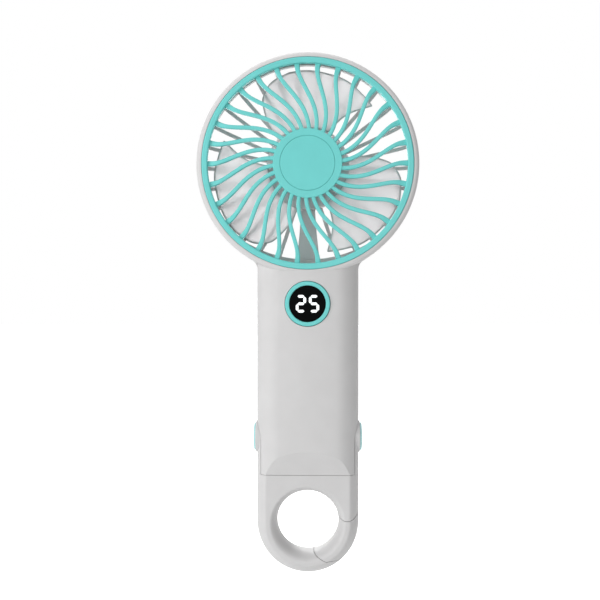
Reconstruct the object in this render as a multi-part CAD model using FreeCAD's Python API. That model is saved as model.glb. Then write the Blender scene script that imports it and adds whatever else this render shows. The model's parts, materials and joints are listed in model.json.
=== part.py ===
"""Hand-held electric fan with a hinged carabiner loop.

Millimetres.  The origin is the centre of the loop's hole.  +Z runs up the handle to the head,
the front grille and the display face -Y, and +X is the gate's side of the loop.
"""
import FreeCAD
import Part
import math
import os

V = FreeCAD.Vector

# ---------------------------------------------------------------- heights above the loop's hole
SEAM_Z = 19.5            # top edge of the loop plate
PIVOT_Z = 34.1           # axis on which the loop folds
HEAD_BOTTOM_Z = 99.8     # lowest point of the head's rim
DISPLAY_DROP = 11.5      # display's centre below the rim

# ---------------------------------------------------------------- handle
HANDLE_WIDTH = 41.3
HANDLE_DEPTH = 23.0
CROWN_RADIUS = 95.0      # gentle curve across front and back
CORNER_RADIUS = 11.4     # between the crown and the sides
CORNER_START_DEG = 7.0   # from the straight-ahead direction
CORNER_END_DEG = 45.0
FLAT_DEPTH = 1.6         # flat strip along the middle of each side
WALL = 1.8               # casing wall
SHELL_GAP = 0.12         # parting line between the two shells
BEVEL_HEIGHT = 9.7       # sloped face above the loop plate
FOLD_CLEARANCE = 0.15    # between the loop plate and the handle's end
REAR_END_DEG = 75.0      # how far the handle's end is rounded at the back
SHOULDER_DROP = 7.0      # rear shoulder starts this far below the rim
SHOULDER_RADIUS = 12.0

# ---------------------------------------------------------------- head
HEAD_RADIUS = 44.6
RIM_DEPTH = 14.5
RIM_WALL = 1.7
RIM_FRONT_ROUND = 1.9
RIM_REAR_ROUND = 1.0
NECK_FILLET = 4.0
SADDLE_HEIGHT = 5.2      # thickness of the saddle over the neck, on the centre line
SADDLE_FLATNESS = 7.1    # how much wider its arc is than the air tunnel's
SADDLE_THICKNESS = 1.6

# ---------------------------------------------------------------- front grille
RING_INSET = 2.2         # grille's ring inside the head's outline
RING_WIDTH = 2.7
RING_DEPTH = 2.8
RING_PROUD = 0.2
RING_CLEARANCE = 0.1
LEDGE_WIDTH = 1.0
LEDGE_DEPTH = 1.2
RIB_COUNT = 30
RIB_START_DEG = -6.05    # first rib's outer end, clockwise from the top, seen from the front
RIB_SWEEP_DEG = 21.0     # how far a rib's S would turn in all
RIB_STRAIGHT = 1.7       # straight end at the ring, before the S begins
RIB_RUN_ON = 2.85        # the S would end this far inside the plate's edge
RIB_WIDTH = 1.6
RIB_FOOT_WIDTH = 2.15    # where it runs into the ring
RIB_DEPTH = 2.0
RIB_SET_BACK = 0.25      # rib front below the ring's front
RIB_FOOT_DROP = 1.3      # further drop of the rib's foot at the ring
RIB_FOOT_LENGTH = 6.0
RIB_STEPS = 14           # points along the rib's curve
EMBED = 0.6              # how far a rib reaches into what carries it
PLATE_RADIUS = 13.85     # centre plate of the grille
PLATE_DEPTH = 2.4
BADGE_RADIUS = 10.95
BADGE_DEPTH = 1.2
BADGE_CHAMFER = 0.25

# ---------------------------------------------------------------- rear grille and motor seat
GUARD_RING_WIDTH = 1.2
GUARD_RING_DEPTH = 2.4
GUARD_RIB_COUNT = 30
GUARD_RIB_WIDTH = 1.5
GUARD_RIB_DEPTH = 1.8
GUARD_RIM = ((0.6, 12.4), (3.0, 14.4), (6.6, 15.4))     # inside the tunnel's wall, depth
GUARD_SEAT = ((8.0, 16.9), (-1.0, 17.6))                # outside the motor's seat, depth
SEAT_RADIUS = 16.0
SEAT_WALL = 1.6
ARM_WIDTH_TOP = 5.6
ARM_WIDTH_BOTTOM = 8.6
ARM_DEPTH = 3.4

# ---------------------------------------------------------------- impeller
HUB_RADIUS = 17.1
HUB_WALL = 1.4
HUB_FRONT_DEPTH = 12.0   # hub front behind the head's front plane
HUB_LENGTH = 5.0
BLADE_COUNT = 3
BLADE_THICKNESS = 0.9
BLADE_CLEARANCE = 3.1    # blade tips inside the tunnel's wall
BLADE_FRONT_DEPTH = 8.2  # trailing corner
BLADE_REAR_DEPTH = 14.6  # leading edge
BLADE_START_DEG = -46.0
BLADE_END_DEG = 48.0
SHEET_STEPS = 8          # straight sections along the blade's screw surface
SHEET_EXTRA_DEG = 4.0    # the surface runs on past both of the blade's edges
SHEET_EXTRA = 2.0
BLADE_LEAD_SHARE = (0.0135, 0.3282, 0.6683, 0.8061, 0.9405, 1.0, 1.0, 0.9711, 0.949, 0.8775, 0.8384)
BLADE_LEAD_DEG = (-45.0, -41.5, -35.1, -30.7, -22.4, -11.0, 0.0, 12.8, 24.5, 36.5, 45.5)
BLADE_TRAIL_SHARE = (0.8214, 0.5578, 0.3792, 0.1989, 0.0135)    # of the way from root to tip
BLADE_TRAIL_DEG = (46.6, 40.2, 35.9, 33.2, 30.7)                # clockwise from the blade's own axis
HUB_BOSS_RADIUS = 3.0
HUB_BOSS_LENGTH = 1.9    # from the hub's front, short of the front bearing

# ---------------------------------------------------------------- motor
SHAFT_RADIUS = 1.0
SHAFT_FIT = 0.03         # running clearance of the shaft in its bearings
CAN_RADIUS = 11.0
CAN_WALL = 0.8
CAN_LENGTH = 5.6
CAN_CLEARANCE = 1.0      # between the can and the hub's inside
BASE_THICKNESS = 1.0
BEARING_RADIUS = 2.5
BEARING_LENGTH = 1.4
MAGNET_THICKNESS = 1.2
AIR_GAP = 0.4
ROTOR_END_GAP = 0.4
ROTOR_SLOTS = 6
ROTOR_SLOT_WIDTH = 1.0
ROTOR_SLOT_DEPTH = 2.2
SHAFT_COVER = 0.4        # hub left in front of the shaft's end
SHAFT_SETBACK = 0.1      # shaft's rear end below the base plate's back
MOTOR_SCREW_PITCH = 15.0
MOTOR_SCREW_RADIUS = 0.8
MOTOR_SCREW_HEAD = 1.5
MOTOR_SCREW_HEAD_LENGTH = 0.7
MOTOR_SCREW_LENGTH = 2.4

# ---------------------------------------------------------------- display button and switch
BUTTON_RADIUS = 8.95
WINDOW_RADIUS = 7.3
BUTTON_GAP = 0.22
BUTTON_PROUD = 0.25
BUTTON_TRAVEL = 0.6
BUTTON_FLOOR = 0.8
BUTTON_ROUND = 0.4
BUTTON_SKIRT = 1.2       # wall behind the floor
FLANGE_GAP = 0.05        # flange behind the collar, at rest
WINDOW_DEPTH = 1.2
WINDOW_INSET = 0.15
WINDOW_CLEARANCE = 0.05
COLLAR_WALL = 1.6
COLLAR_DEPTH = 1.3
FLANGE_WIDTH = 1.2
FLANGE_DEPTH = 0.8
POST_RADIUS = 1.6
DIGITS = "25"
DIGIT_HEIGHT = 7.0
DIGIT_WIDTH = 4.1
DIGIT_GAP = 1.1
STROKE = 1.1
STROKE_JOINT = 0.12      # bars stop this far short of their shared corner
SEGMENT_DEPTH = 0.4
SWITCH_SIZE = 6.0
SWITCH_HEIGHT = 3.4
PLUNGER_RADIUS = 1.7
PLUNGER_LENGTH = 1.8
PLUNGER_INSERT = 0.3
PLUNGER_FIT = 0.05
PLUNGER_END_GAP = 0.3    # left behind the plunger when fully pressed

# ---------------------------------------------------------------- board, socket and battery
BOARD_WIDTH = 22.0
BOARD_HEIGHT = 17.0
BOARD_THICKNESS = 1.2
BOARD_FRONT_Y = -1.2
SOCKET_WIDTH = 8.9
SOCKET_HEIGHT = 3.3
SOCKET_WALL = 0.3
SOCKET_SETBACK = 0.4
SOCKET_GAP = 0.15
SOCKET_MOUTH = 6.0       # depth of the plug's room
TONGUE_WIDTH = 6.6
TONGUE_THICKNESS = 0.7
TONGUE_SETBACK = 0.8     # tongue's tip below the socket's mouth
TONGUE_ROOT = 0.5        # how far the tongue is held in the socket's block
SOCKET_DROP = 3.4        # socket below the display's centre
STANDOFF_RADIUS = 2.2
BOARD_SCREW_RADIUS = 0.8
BOARD_SCREW_HEAD = 1.5
BOARD_SCREW_HEAD_LENGTH = 0.9
BOARD_SCREW_LENGTH = 5.0
BOARD_SCREW_INSET = 2.6
CHIP_X = (-9.5, -5.0)    # driver chip on the front
CHIP_HEIGHT = 1.2
COIL_X = 7.0             # boost coil on the front
COIL_RADIUS = 2.6
COIL_HEIGHT = 2.4
REAR_CHIP_X = (-5.5, -1.5)
REAR_CHIP_DROP = 0.5     # above the display's centre line
REAR_CHIP_HEIGHT = 1.1
CAPACITOR_X = (1.6, 4.4)
CAPACITOR_DROP = 3.4
CAPACITOR_WIDTH = 1.8
CAPACITOR_HEIGHT = 1.4
CELL_ROOM = 0.55         # between the cell and the shells
CELL_DROP = 5.1          # cell's lower end below the pivots
CELL_GAP = 1.6           # between the upper tab and the board
CELL_BUTTON_RADIUS = 3.0
CELL_BUTTON_LENGTH = 0.8
CELL_ROUND = 0.5
TAB_WIDTH = 5.0
TAB_THICKNESS = 0.3
CRADLE_CLEARANCE = 0.15
CRADLE_WIDTH = 26.0
CRADLE_LENGTH = 5.0
CRADLE_INSET = 11.3      # from each end of the cell
CRADLE_FRONT_Y = 0.5     # the saddles stay behind the parting line

# ---------------------------------------------------------------- shell screws
SCREW_X = 14.3
SCREW_RISE_LOWER = 15.9  # above the pivots
SCREW_RISE_UPPER = 2.6   # above the display's centre
SCREW_RADIUS = 1.0
SCREW_HEAD_RADIUS = 1.9
SCREW_HEAD_LENGTH = 1.3
SCREW_LENGTH = 9.0
SCREW_HEAD_Y = 5.2
SCREW_BOSS_RADIUS = 2.9
SCREW_FIT = 0.05
SCREW_HOLE_EXTRA = 0.5   # blind hole beyond the screw's tip
DRIVE_DEPTH = 0.6        # cross in the screw's head
DRIVE_REACH = 1.14
DRIVE_HALF_WIDTH = 0.3
RECESS_FIT = 0.2

# ---------------------------------------------------------------- loop
LOOP_BAND = 8.15         # beside the hole
PLATE_THICKNESS = 17.4
HOLE_BORE = 2.4          # length of the hole's straight middle
HOLE_ROUND = 2.9         # widening from there to both faces
CREASE_ROUND = 1.4       # along the edge of the plate's flat faces
ARM_THICKNESS = 1.8
ARM_GAP = 0.12           # between an arm and the handle's side
BOSS_RADIUS = 6.4
BOSS_PROUD = 0.55
BOSS_ROUND = 0.4
BOSS_CLEARANCE = 0.35
CAP_RADIUS = 5.7
CAP_DEPTH = 0.5          # let into the boss
CAP_PROUD = 0.8
CAP_ROUND = 0.6
CAP_CLEARANCE = 0.05
PIN_RADIUS = 2.0
PIN_FIT = 0.05
PIN_HEAD_RADIUS = 3.4
PIN_HEAD_LENGTH = 0.9     # room for the head in the boss
PIN_HEAD_GAP = 0.05
PIN_CAP_GAP = 0.1
PIN_DEPTH = 7.0          # how far the pin reaches into the handle
PIN_SOCKET_WALL = 1.6
WASHER_RADIUS = 4.6
WASHER_THICKNESS = 0.4

# ---------------------------------------------------------------- gate
GATE_PIVOT_INSET = 4.75  # from the loop's side
GATE_PIVOT_Z = 6.1
KNUCKLE_RADIUS = 4.8
GATE_REACH = 22.7        # pivot to the gate's free end
GATE_GAP = 0.2
GATE_OPEN_DEG = 28.0
GATE_TOP_DROP = 1.4      # upper limit of the gate, below its pivot
SWING_STEPS = 4          # places at which the swing's room is cut
LIP_OUTLINE = (          # from the gate's pivot
    (-10.3, -23.1), (-7.6, -21.0), (-3.9, -20.9), (-1.3, -19.9), (0.7, -27.3), (-12.3, -27.3))
TONGUE_HALF = 2.0
TONGUE_RADIUS = 3.0
TONGUE_NECK_HALF = 2.4
TONGUE_NECK_EXTRA = 1.2  # how far the tongue reaches into the gate
TONGUE_CLEARANCE = 0.3
GATE_PIN_RADIUS = 1.0
GATE_PIN_FIT = 0.05
GATE_PIN_COVER = 1.5     # plate left in front of the blind pin hole
GATE_PIN_SETBACK = 0.3   # pin's end below the plate's back
SPRING_WIRE = 0.25
SPRING_COIL_RADIUS = 1.75
SPRING_TURNS = 3
SPRING_PITCH = 0.62
SPRING_POCKET_RADIUS = 2.5
SPRING_LEG = 6.6
SPRING_ANCHOR = 4.0      # straight end held in the frame
SPRING_GAP = 0.1         # beside the tongue
SPRING_POCKET_EXTRA = 0.2
SPRING_SEAT_GROW = 0.15  # room round the anchored end
SPRING_LEG_GROW = 0.1    # room round the leg in the gate
SPRING_BEND = 1.2        # thickening where the coil turns into a leg

# ---------------------------------------------------------------- derived places
HEAD_Z = HEAD_BOTTOM_Z + HEAD_RADIUS
DISPLAY_Z = HEAD_BOTTOM_Z - DISPLAY_DROP
SOCKET_Z = DISPLAY_Z - SOCKET_DROP
SCREW_Z = (PIVOT_Z + SCREW_RISE_LOWER, DISPLAY_Z + SCREW_RISE_UPPER)
CELL_BOTTOM_Z = PIVOT_Z - CELL_DROP
FRONT_Y = -HANDLE_DEPTH / 2
HALF_WIDTH = HANDLE_WIDTH / 2
HALF_DEPTH = HANDLE_DEPTH / 2
HOLE_RADIUS = HALF_WIDTH - LOOP_BAND
GATE_PIVOT_X = HALF_WIDTH - GATE_PIVOT_INSET
CELL_RADIUS = HALF_DEPTH - WALL - CELL_ROOM
RIM_REAR_Y = FRONT_Y + RIM_DEPTH
TUNNEL_RADIUS = HEAD_RADIUS - RIM_WALL
SADDLE_RADIUS = TUNNEL_RADIUS + SADDLE_FLATNESS
RING_OUTER = HEAD_RADIUS - RING_INSET
RING_INNER = RING_OUTER - RING_WIDTH
BLADE_ROOT = HUB_RADIUS - HUB_WALL / 2
BLADE_TIP = TUNNEL_RADIUS - BLADE_CLEARANCE
HANDLE_END_Z = SEAM_Z + FOLD_CLEARANCE
END_RADIUS = PIVOT_Z - HANDLE_END_Z
PLATE_HALF = PLATE_THICKNESS / 2
ARM_INNER_X = HALF_WIDTH - ARM_THICKNESS
HEAD_AXIS = V(0, 0, HEAD_Z)
CAVITY_TOP_Z = HEAD_Z - TUNNEL_RADIUS - WALL
MARGIN = 1.0             # how far a cutting tool runs past the face it cuts
FAR = 300.0
EDGE_TOLERANCE = 0.02    # for telling edges by their place


def at_depth(depth):
    """Y of a plane that lies this far behind the head's front plane."""
    return FRONT_Y + depth


# ================================================================ shape helpers
def box(x0, x1, y0, y1, z0, z1):
    """Box between two corners."""
    return Part.makeBox(x1 - x0, y1 - y0, z1 - z0, V(x0, y0, z0))


def cyl_y(radius, y0, y1, x=0.0, z=0.0):
    """Cylinder along Y."""
    return Part.makeCylinder(radius, y1 - y0, V(x, y0, z), V(0, 1, 0))


def cyl_x(radius, x0, x1, y=0.0, z=0.0):
    """Cylinder along X."""
    return Part.makeCylinder(radius, x1 - x0, V(x0, y, z), V(1, 0, 0))


def cyl_z(radius, z0, z1, x=0.0, y=0.0):
    """Cylinder along Z."""
    return Part.makeCylinder(radius, z1 - z0, V(x, y, z0), V(0, 0, 1))


def ring_y(outer, inner, y0, y1, x=0.0, z=0.0):
    """Ring about an axis along Y."""
    return cyl_y(outer, y0, y1, x, z).cut(cyl_y(inner, y0, y1, x, z))


def face_of(points):
    """Flat face with straight edges through the points."""
    return Part.Face(Part.makePolygon(list(points) + [points[0]]))


def prism_y(points_xz, y0, y1):
    """Polygon in the XZ plane, extruded along Y."""
    face = face_of([V(x, y0, z) for x, z in points_xz])
    return face.extrude(V(0, y1 - y0, 0))


def turned_y(points_ry, z=HEAD_Z):
    """Polygon of radius and Y, turned about an axis along Y."""
    face = face_of([V(r, y, z) for r, y in points_ry])
    return face.revolve(V(0, 0, z), V(0, 1, 0), 360)


def fused(shapes):
    """One solid of several touching ones."""
    return shapes[0].multiFuse(shapes[1:]).removeSplitter()


def copies_about_y(shape, count, centre=HEAD_AXIS):
    """Copies of the shape spaced evenly about an axis along Y."""
    result = []
    for index in range(count):
        turned = shape.copy()
        turned.rotate(centre, V(0, 1, 0), index * 360.0 / count)
        result.append(turned)
    return result


def on_circle(radius, clock_deg, y, centre=HEAD_AXIS):
    """Point on a circle, its angle clockwise from the top as seen from the front."""
    angle = math.radians(clock_deg)
    return V(centre.x + radius * math.sin(angle), y, centre.z + radius * math.cos(angle))


def circle_edges(shape, radius, axis="Y", place=None):
    """Circular edges of this radius about an axis; place picks them by their centre's coordinate."""
    found = []
    for edge in shape.Edges:
        curve = edge.Curve
        if not isinstance(curve, Part.Circle) or abs(curve.Radius - radius) > EDGE_TOLERANCE:
            continue
        along = {"X": curve.Center.x, "Y": curve.Center.y, "Z": curve.Center.z}[axis]
        if place is None or abs(along - place) < EDGE_TOLERANCE:
            found.append(edge)
    return found


def handle_outline(inset, z):
    """The handle's section at height z: crowned front and back, round corners, steep sides."""
    crown = CROWN_RADIUS - inset
    corner = CORNER_RADIUS - inset
    start = math.radians(CORNER_START_DEG)
    end = math.radians(CORNER_END_DEG)
    middle = (start + end) / 2
    crown_y = HALF_DEPTH - CROWN_RADIUS
    corner_x = (CROWN_RADIUS - CORNER_RADIUS) * math.sin(start)
    corner_y = crown_y + (CROWN_RADIUS - CORNER_RADIUS) * math.cos(start)
    side_x = HALF_WIDTH - inset
    joint = (crown * math.sin(start), crown_y + crown * math.cos(start))
    bend = (corner_x + corner * math.sin(middle), corner_y + corner * math.cos(middle))
    leave = (corner_x + corner * math.sin(end), corner_y + corner * math.cos(end))
    pull = (side_x, leave[1] - (side_x - leave[0]) * math.tan(end))

    def at(point, sign_x, sign_y):
        return V(sign_x * point[0], sign_y * point[1], z)

    edges = []
    for sign_x, sign_y in ((1, 1), (-1, -1)):
        sides = []
        for turn in (-1, 1):
            side = Part.BezierCurve()
            side.setPoles([at(point, turn * sign_x, sign_y)
                           for point in (leave, pull, (side_x, FLAT_DEPTH / 2))])
            corner_arc = Part.Arc(at(joint, turn * sign_x, sign_y), at(bend, turn * sign_x, sign_y),
                                  at(leave, turn * sign_x, sign_y))
            sides.append([corner_arc.toShape(), side.toShape()])
        front = Part.Arc(at(joint, -sign_x, sign_y), at((0, HALF_DEPTH - inset), sign_x, sign_y),
                         at(joint, sign_x, sign_y))
        edges += [sides[0][1], sides[0][0], front.toShape(), sides[1][0], sides[1][1]]
        edges.append(Part.makeLine(at((side_x, FLAT_DEPTH / 2), sign_x, sign_y),
                                   at((side_x, FLAT_DEPTH / 2), sign_x, -sign_y)))
    return Part.Face(Part.Wire(Part.__sortEdges__(edges)))


def handle_prism(inset, z0, z1):
    """The handle's section between two heights."""
    return handle_outline(inset, z0).extrude(V(0, 0, z1 - z0))


# ================================================================ casing
def side_profile(inset, top_z):
    """Side view of the handle: bevel, flat end, rounded rear end and rear shoulder."""
    slope_y = HALF_DEPTH - PLATE_HALF
    slant = math.hypot(slope_y, BEVEL_HEIGHT)
    end_radius = END_RADIUS - inset
    end_z = PIVOT_Z - end_radius
    bevel_lift = inset * slant / slope_y
    bevel_y = -PLATE_HALF - (end_z - HANDLE_END_Z - bevel_lift) * slope_y / BEVEL_HEIGHT
    outer = HALF_DEPTH + MARGIN
    bevel_top = end_z + (outer + bevel_y) * BEVEL_HEIGHT / slope_y
    rear_angle = math.radians(REAR_END_DEG)
    rear = V(0, end_radius * math.sin(rear_angle), PIVOT_Z - end_radius * math.cos(rear_angle))
    middle = V(0, end_radius * math.sin(rear_angle / 2), PIVOT_Z - end_radius * math.cos(rear_angle / 2))
    shoulder_z = HEAD_BOTTOM_Z - SHOULDER_DROP
    shoulder_y = HALF_DEPTH - inset - SHOULDER_RADIUS
    turn = math.acos((RIM_REAR_Y - inset - shoulder_y) / SHOULDER_RADIUS)
    knee = V(0, HALF_DEPTH - inset, shoulder_z)
    crest = V(0, RIM_REAR_Y - inset, shoulder_z + SHOULDER_RADIUS * math.sin(turn))
    bend = V(0, shoulder_y + SHOULDER_RADIUS * math.cos(turn / 2),
             shoulder_z + SHOULDER_RADIUS * math.sin(turn / 2))
    outer_rear = V(0, outer, rear.z)
    edges = [
        Part.makeLine(V(0, -outer, bevel_top), V(0, bevel_y, end_z)),
        Part.makeLine(V(0, bevel_y, end_z), V(0, 0, end_z)),
        Part.Arc(V(0, 0, end_z), middle, rear).toShape(),
        Part.makeLine(rear, outer_rear),
        Part.makeLine(outer_rear, V(0, outer, shoulder_z)),
        Part.makeLine(V(0, outer, shoulder_z), knee),
        Part.Arc(knee, bend, crest).toShape(),
        Part.makeLine(crest, V(0, crest.y, top_z)),
        Part.makeLine(V(0, crest.y, top_z), V(0, -outer, top_z)),
        Part.makeLine(V(0, -outer, top_z), V(0, -outer, bevel_top)),
    ]
    face = Part.Face(Part.Wire(edges))
    face.translate(V(-FAR / 2, 0, 0))
    return face.extrude(V(FAR, 0, 0))


def saddle_region(y0, y1, grow=0.0):
    """Everything below the saddle's long arc, about the head's axis."""
    centre_z = HEAD_Z - TUNNEL_RADIUS + SADDLE_HEIGHT + SADDLE_RADIUS
    block = box(-HEAD_RADIUS, HEAD_RADIUS, y0, y1, HEAD_Z - HEAD_RADIUS - SADDLE_RADIUS, HEAD_Z)
    return block.cut(cyl_y(SADDLE_RADIUS - grow, y0, y1, 0, centre_z))


def arm_half_depth():
    """Half an arm's width: half the handle's depth where its side is cut away."""
    strip = box(ARM_INNER_X, HALF_WIDTH + MARGIN, -HALF_DEPTH, HALF_DEPTH, -MARGIN, MARGIN)
    return handle_outline(0.0, 0.0).common(strip).BoundBox.YMax


def arm_sweep():
    """Room at the handle's two sides for the folding arms."""
    room = []
    for side in (1, -1):
        x0, x1 = sorted((side * ARM_INNER_X, side * (HALF_WIDTH + MARGIN)))
        room.append(box(x0, x1, -FAR, FAR, 0, PIVOT_Z))
        room.append(cyl_x(BOSS_RADIUS + BOSS_CLEARANCE, x0, x1, 0, PIVOT_Z))
        room.append(box(x0, x1, 0, FAR, PIVOT_Z, PIVOT_Z + arm_half_depth() + BOSS_CLEARANCE))
    return room


def casing_outside():
    """Outer form of the whole casing, before it is hollowed and split."""
    head = cyl_y(HEAD_RADIUS, FRONT_Y, RIM_REAR_Y, 0, HEAD_Z)
    handle = handle_prism(0.0, SEAM_Z, HEAD_Z - HEAD_RADIUS / 2)
    handle = handle.common(side_profile(0.0, HEAD_Z))
    head = head.makeFillet(RIM_FRONT_ROUND, circle_edges(head, HEAD_RADIUS, place=FRONT_Y))
    head = head.makeFillet(RIM_REAR_ROUND, circle_edges(head, HEAD_RADIUS, place=RIM_REAR_Y))
    body = fused([head, handle])
    return body


def neck_fillets():
    """Round corners where the handle's sides run into the rim."""
    centre_x = HALF_WIDTH + NECK_FILLET
    centre_z = HEAD_Z - math.sqrt((HEAD_RADIUS + NECK_FILLET) ** 2 - centre_x ** 2)
    touch = V(centre_x, 0, centre_z) - HEAD_AXIS
    touch.multiply(HEAD_RADIUS / touch.Length)
    web = []
    for side in (1, -1):
        corner = V(side * HALF_WIDTH, 0, centre_z)
        rim_point = V(side * touch.x, 0, HEAD_Z + touch.z)
        inside_x = side * (HALF_WIDTH - WALL)
        inside_z = HEAD_Z - math.sqrt((HEAD_RADIUS - RIM_WALL) ** 2 - inside_x ** 2)
        points = [(corner.x, corner.z), (rim_point.x, rim_point.z), (inside_x, inside_z),
                  (inside_x, corner.z)]
        block = prism_y(points, -FLAT_DEPTH, FLAT_DEPTH)
        web.append(block.cut(cyl_y(NECK_FILLET, -FAR, FAR, side * centre_x, centre_z)))
    return web


def casing_cavity():
    """Hollow of the handle."""
    room = handle_prism(WALL, SEAM_Z, CAVITY_TOP_Z)
    room = room.common(side_profile(WALL, HEAD_Z))
    side = ARM_INNER_X - WALL
    low = PIVOT_Z + BOSS_RADIUS + BOSS_CLEARANCE + WALL
    for sign in (1, -1):
        x0, x1 = sorted((sign * side, sign * HANDLE_WIDTH))
        room = room.cut(box(x0, x1, -FAR, FAR, 0, low))
    return room


def head_tunnel():
    """Air passage through the head, with the ledge that carries the front grille."""
    seat_y = FRONT_Y - RING_PROUD + RING_DEPTH
    ledge_y = seat_y + LEDGE_DEPTH
    ledge_radius = RING_OUTER - LEDGE_WIDTH
    return [
        cyl_y(RING_OUTER + RING_CLEARANCE, FRONT_Y - MARGIN, seat_y, 0, HEAD_Z),
        cyl_y(ledge_radius, FRONT_Y, RIM_REAR_Y, 0, HEAD_Z),
        cyl_y(TUNNEL_RADIUS, ledge_y, RIM_REAR_Y + MARGIN, 0, HEAD_Z),
    ]


def screw_places():
    """Centres of the shell screws."""
    return [(side * SCREW_X, z) for side in (-1, 1) for z in SCREW_Z]


def pin_socket(side):
    """Boss inside the handle that holds a pivot pin."""
    x0, x1 = sorted((side * (ARM_INNER_X - PIN_DEPTH), side * ARM_INNER_X))
    return cyl_x(PIN_RADIUS + PIN_SOCKET_WALL, x0, x1, 0, PIVOT_Z)


def pin_hole(side):
    """Hole for a pivot pin and its washer's recess."""
    x0, x1 = sorted((side * (ARM_INNER_X - PIN_DEPTH), side * HANDLE_WIDTH))
    hole = cyl_x(PIN_RADIUS + SHAFT_FIT, x0, x1, 0, PIVOT_Z)
    w0, w1 = sorted((side * (ARM_INNER_X - WASHER_THICKNESS), side * HANDLE_WIDTH))
    return hole.fuse(cyl_x(WASHER_RADIUS + PIN_FIT, w0, w1, 0, PIVOT_Z))


def board_standoffs():
    """Centres of the two posts that carry the main board."""
    x = BOARD_WIDTH / 2 - BOARD_SCREW_INSET
    return [(-x, board_top() - BOARD_SCREW_INSET), (x, board_top() - BOARD_SCREW_INSET)]


def board_top():
    """Upper edge of the main board."""
    return DISPLAY_Z + BOARD_HEIGHT / 2


def make_shells():
    """Front and rear shell."""
    cavity = casing_cavity()
    body = fused([casing_outside()] + neck_fillets())
    for room in arm_sweep() + head_tunnel() + [cavity]:
        body = body.cut(room)
    saddle = saddle_region(RIM_REAR_Y, RIM_REAR_Y + SADDLE_THICKNESS)
    saddle = saddle.common(cyl_y(HEAD_RADIUS - RIM_REAR_ROUND, FRONT_Y, HALF_DEPTH, 0, HEAD_Z))
    body = fused([body, saddle])
    front = body.common(box(-FAR, FAR, -FAR, -SHELL_GAP / 2, 0, FAR))
    rear = body.common(box(-FAR, FAR, SHELL_GAP / 2, FAR, 0, FAR))
    return finish_front(front, cavity), finish_rear(rear, cavity)


def finish_front(shell, cavity):
    """Screw bosses, pin sockets, button collar and the display's opening."""
    parts = [shell]
    for x, z in screw_places():
        parts.append(cyl_y(SCREW_BOSS_RADIUS, FRONT_Y, -SHELL_GAP / 2, x, z).common(cavity))
    for side in (-1, 1):
        parts.append(pin_socket(side).common(box(-FAR, FAR, -FAR, -SHELL_GAP / 2, 0, FAR)))
    collar_y = FRONT_Y + WALL + COLLAR_DEPTH
    collar = cyl_y(BUTTON_RADIUS + BUTTON_GAP + COLLAR_WALL, FRONT_Y, collar_y, 0, DISPLAY_Z)
    parts.append(collar.common(cavity))
    shell = fused(parts)
    shell = shell.cut(cyl_y(BUTTON_RADIUS + BUTTON_GAP, -FAR, collar_y + MARGIN, 0, DISPLAY_Z))
    for x, z in screw_places():
        shell = shell.cut(cyl_y(SCREW_RADIUS + SHAFT_FIT, SCREW_HEAD_Y - SCREW_LENGTH - SCREW_HOLE_EXTRA,
                                FAR, x, z))
    for side in (-1, 1):
        shell = shell.cut(pin_hole(side))
    return shell


def finish_rear(shell, cavity):
    """Screw bosses, pin sockets, board posts and the charging opening."""
    parts = [shell]
    for x, z in screw_places():
        parts.append(cyl_y(SCREW_BOSS_RADIUS, SHELL_GAP / 2, HALF_DEPTH, x, z).common(cavity))
    for side in (-1, 1):
        parts.append(pin_socket(side).common(box(-FAR, FAR, SHELL_GAP / 2, FAR, 0, FAR)))
    board_rear_y = BOARD_FRONT_Y + BOARD_THICKNESS
    for x, z in board_standoffs():
        parts.append(cyl_y(STANDOFF_RADIUS, board_rear_y, HALF_DEPTH, x, z).common(cavity))
    shell = fused(parts)
    for x, z in screw_places():
        shell = shell.cut(cyl_y(SCREW_RADIUS + SCREW_FIT, 0, FAR, x, z))
        shell = shell.cut(cyl_y(SCREW_HEAD_RADIUS + RECESS_FIT, SCREW_HEAD_Y, FAR, x, z))
    for x, z in board_standoffs():
        shell = shell.cut(cyl_y(BOARD_SCREW_RADIUS + SHAFT_FIT, board_rear_y,
                                BOARD_FRONT_Y + BOARD_SCREW_LENGTH + SCREW_HOLE_EXTRA, x, z))
    for side in (-1, 1):
        shell = shell.cut(pin_hole(side))
    opening = rounded_slot(SOCKET_WIDTH + 2 * SOCKET_GAP, SOCKET_HEIGHT + 2 * SOCKET_GAP,
                           0, FAR, SOCKET_Z)
    return shell.cut(opening)


def rounded_slot(width, height, y0, y1, z):
    """Slot with round ends, extruded along Y."""
    radius = height / 2
    half = width / 2 - radius
    middle = box(-half, half, y0, y1, z - radius, z + radius)
    return fused([middle, cyl_y(radius, y0, y1, -half, z), cyl_y(radius, y0, y1, half, z)])


def make_shell_screws():
    """Four self-tapping screws, heads sunk in the back."""
    screws = []
    for x, z in screw_places():
        head = cyl_y(SCREW_HEAD_RADIUS, SCREW_HEAD_Y, SCREW_HEAD_Y + SCREW_HEAD_LENGTH, x, z)
        shank = cyl_y(SCREW_RADIUS, SCREW_HEAD_Y - SCREW_LENGTH, SCREW_HEAD_Y, x, z)
        y1 = SCREW_HEAD_Y + SCREW_HEAD_LENGTH
        y0 = y1 - DRIVE_DEPTH
        arm = DRIVE_REACH
        slot = DRIVE_HALF_WIDTH
        cross = box(x - arm, x + arm, y0, y1, z - slot, z + slot)
        cross = cross.fuse(box(x - slot, x + slot, y0, y1, z - arm, z + arm))
        screws.append(fused([head, shank]).cut(cross))
    return Part.makeCompound(screws)


# ================================================================ front grille
def rib_half_width(share):
    """Half the width of a front rib; share runs from 0 at the ring to 1 at the plate."""
    foot = max(0.0, 1.0 - share * (RING_INNER - PLATE_RADIUS) / RIB_FOOT_LENGTH)
    return (RIB_WIDTH + (RIB_FOOT_WIDTH - RIB_WIDTH) * foot) / 2


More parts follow.
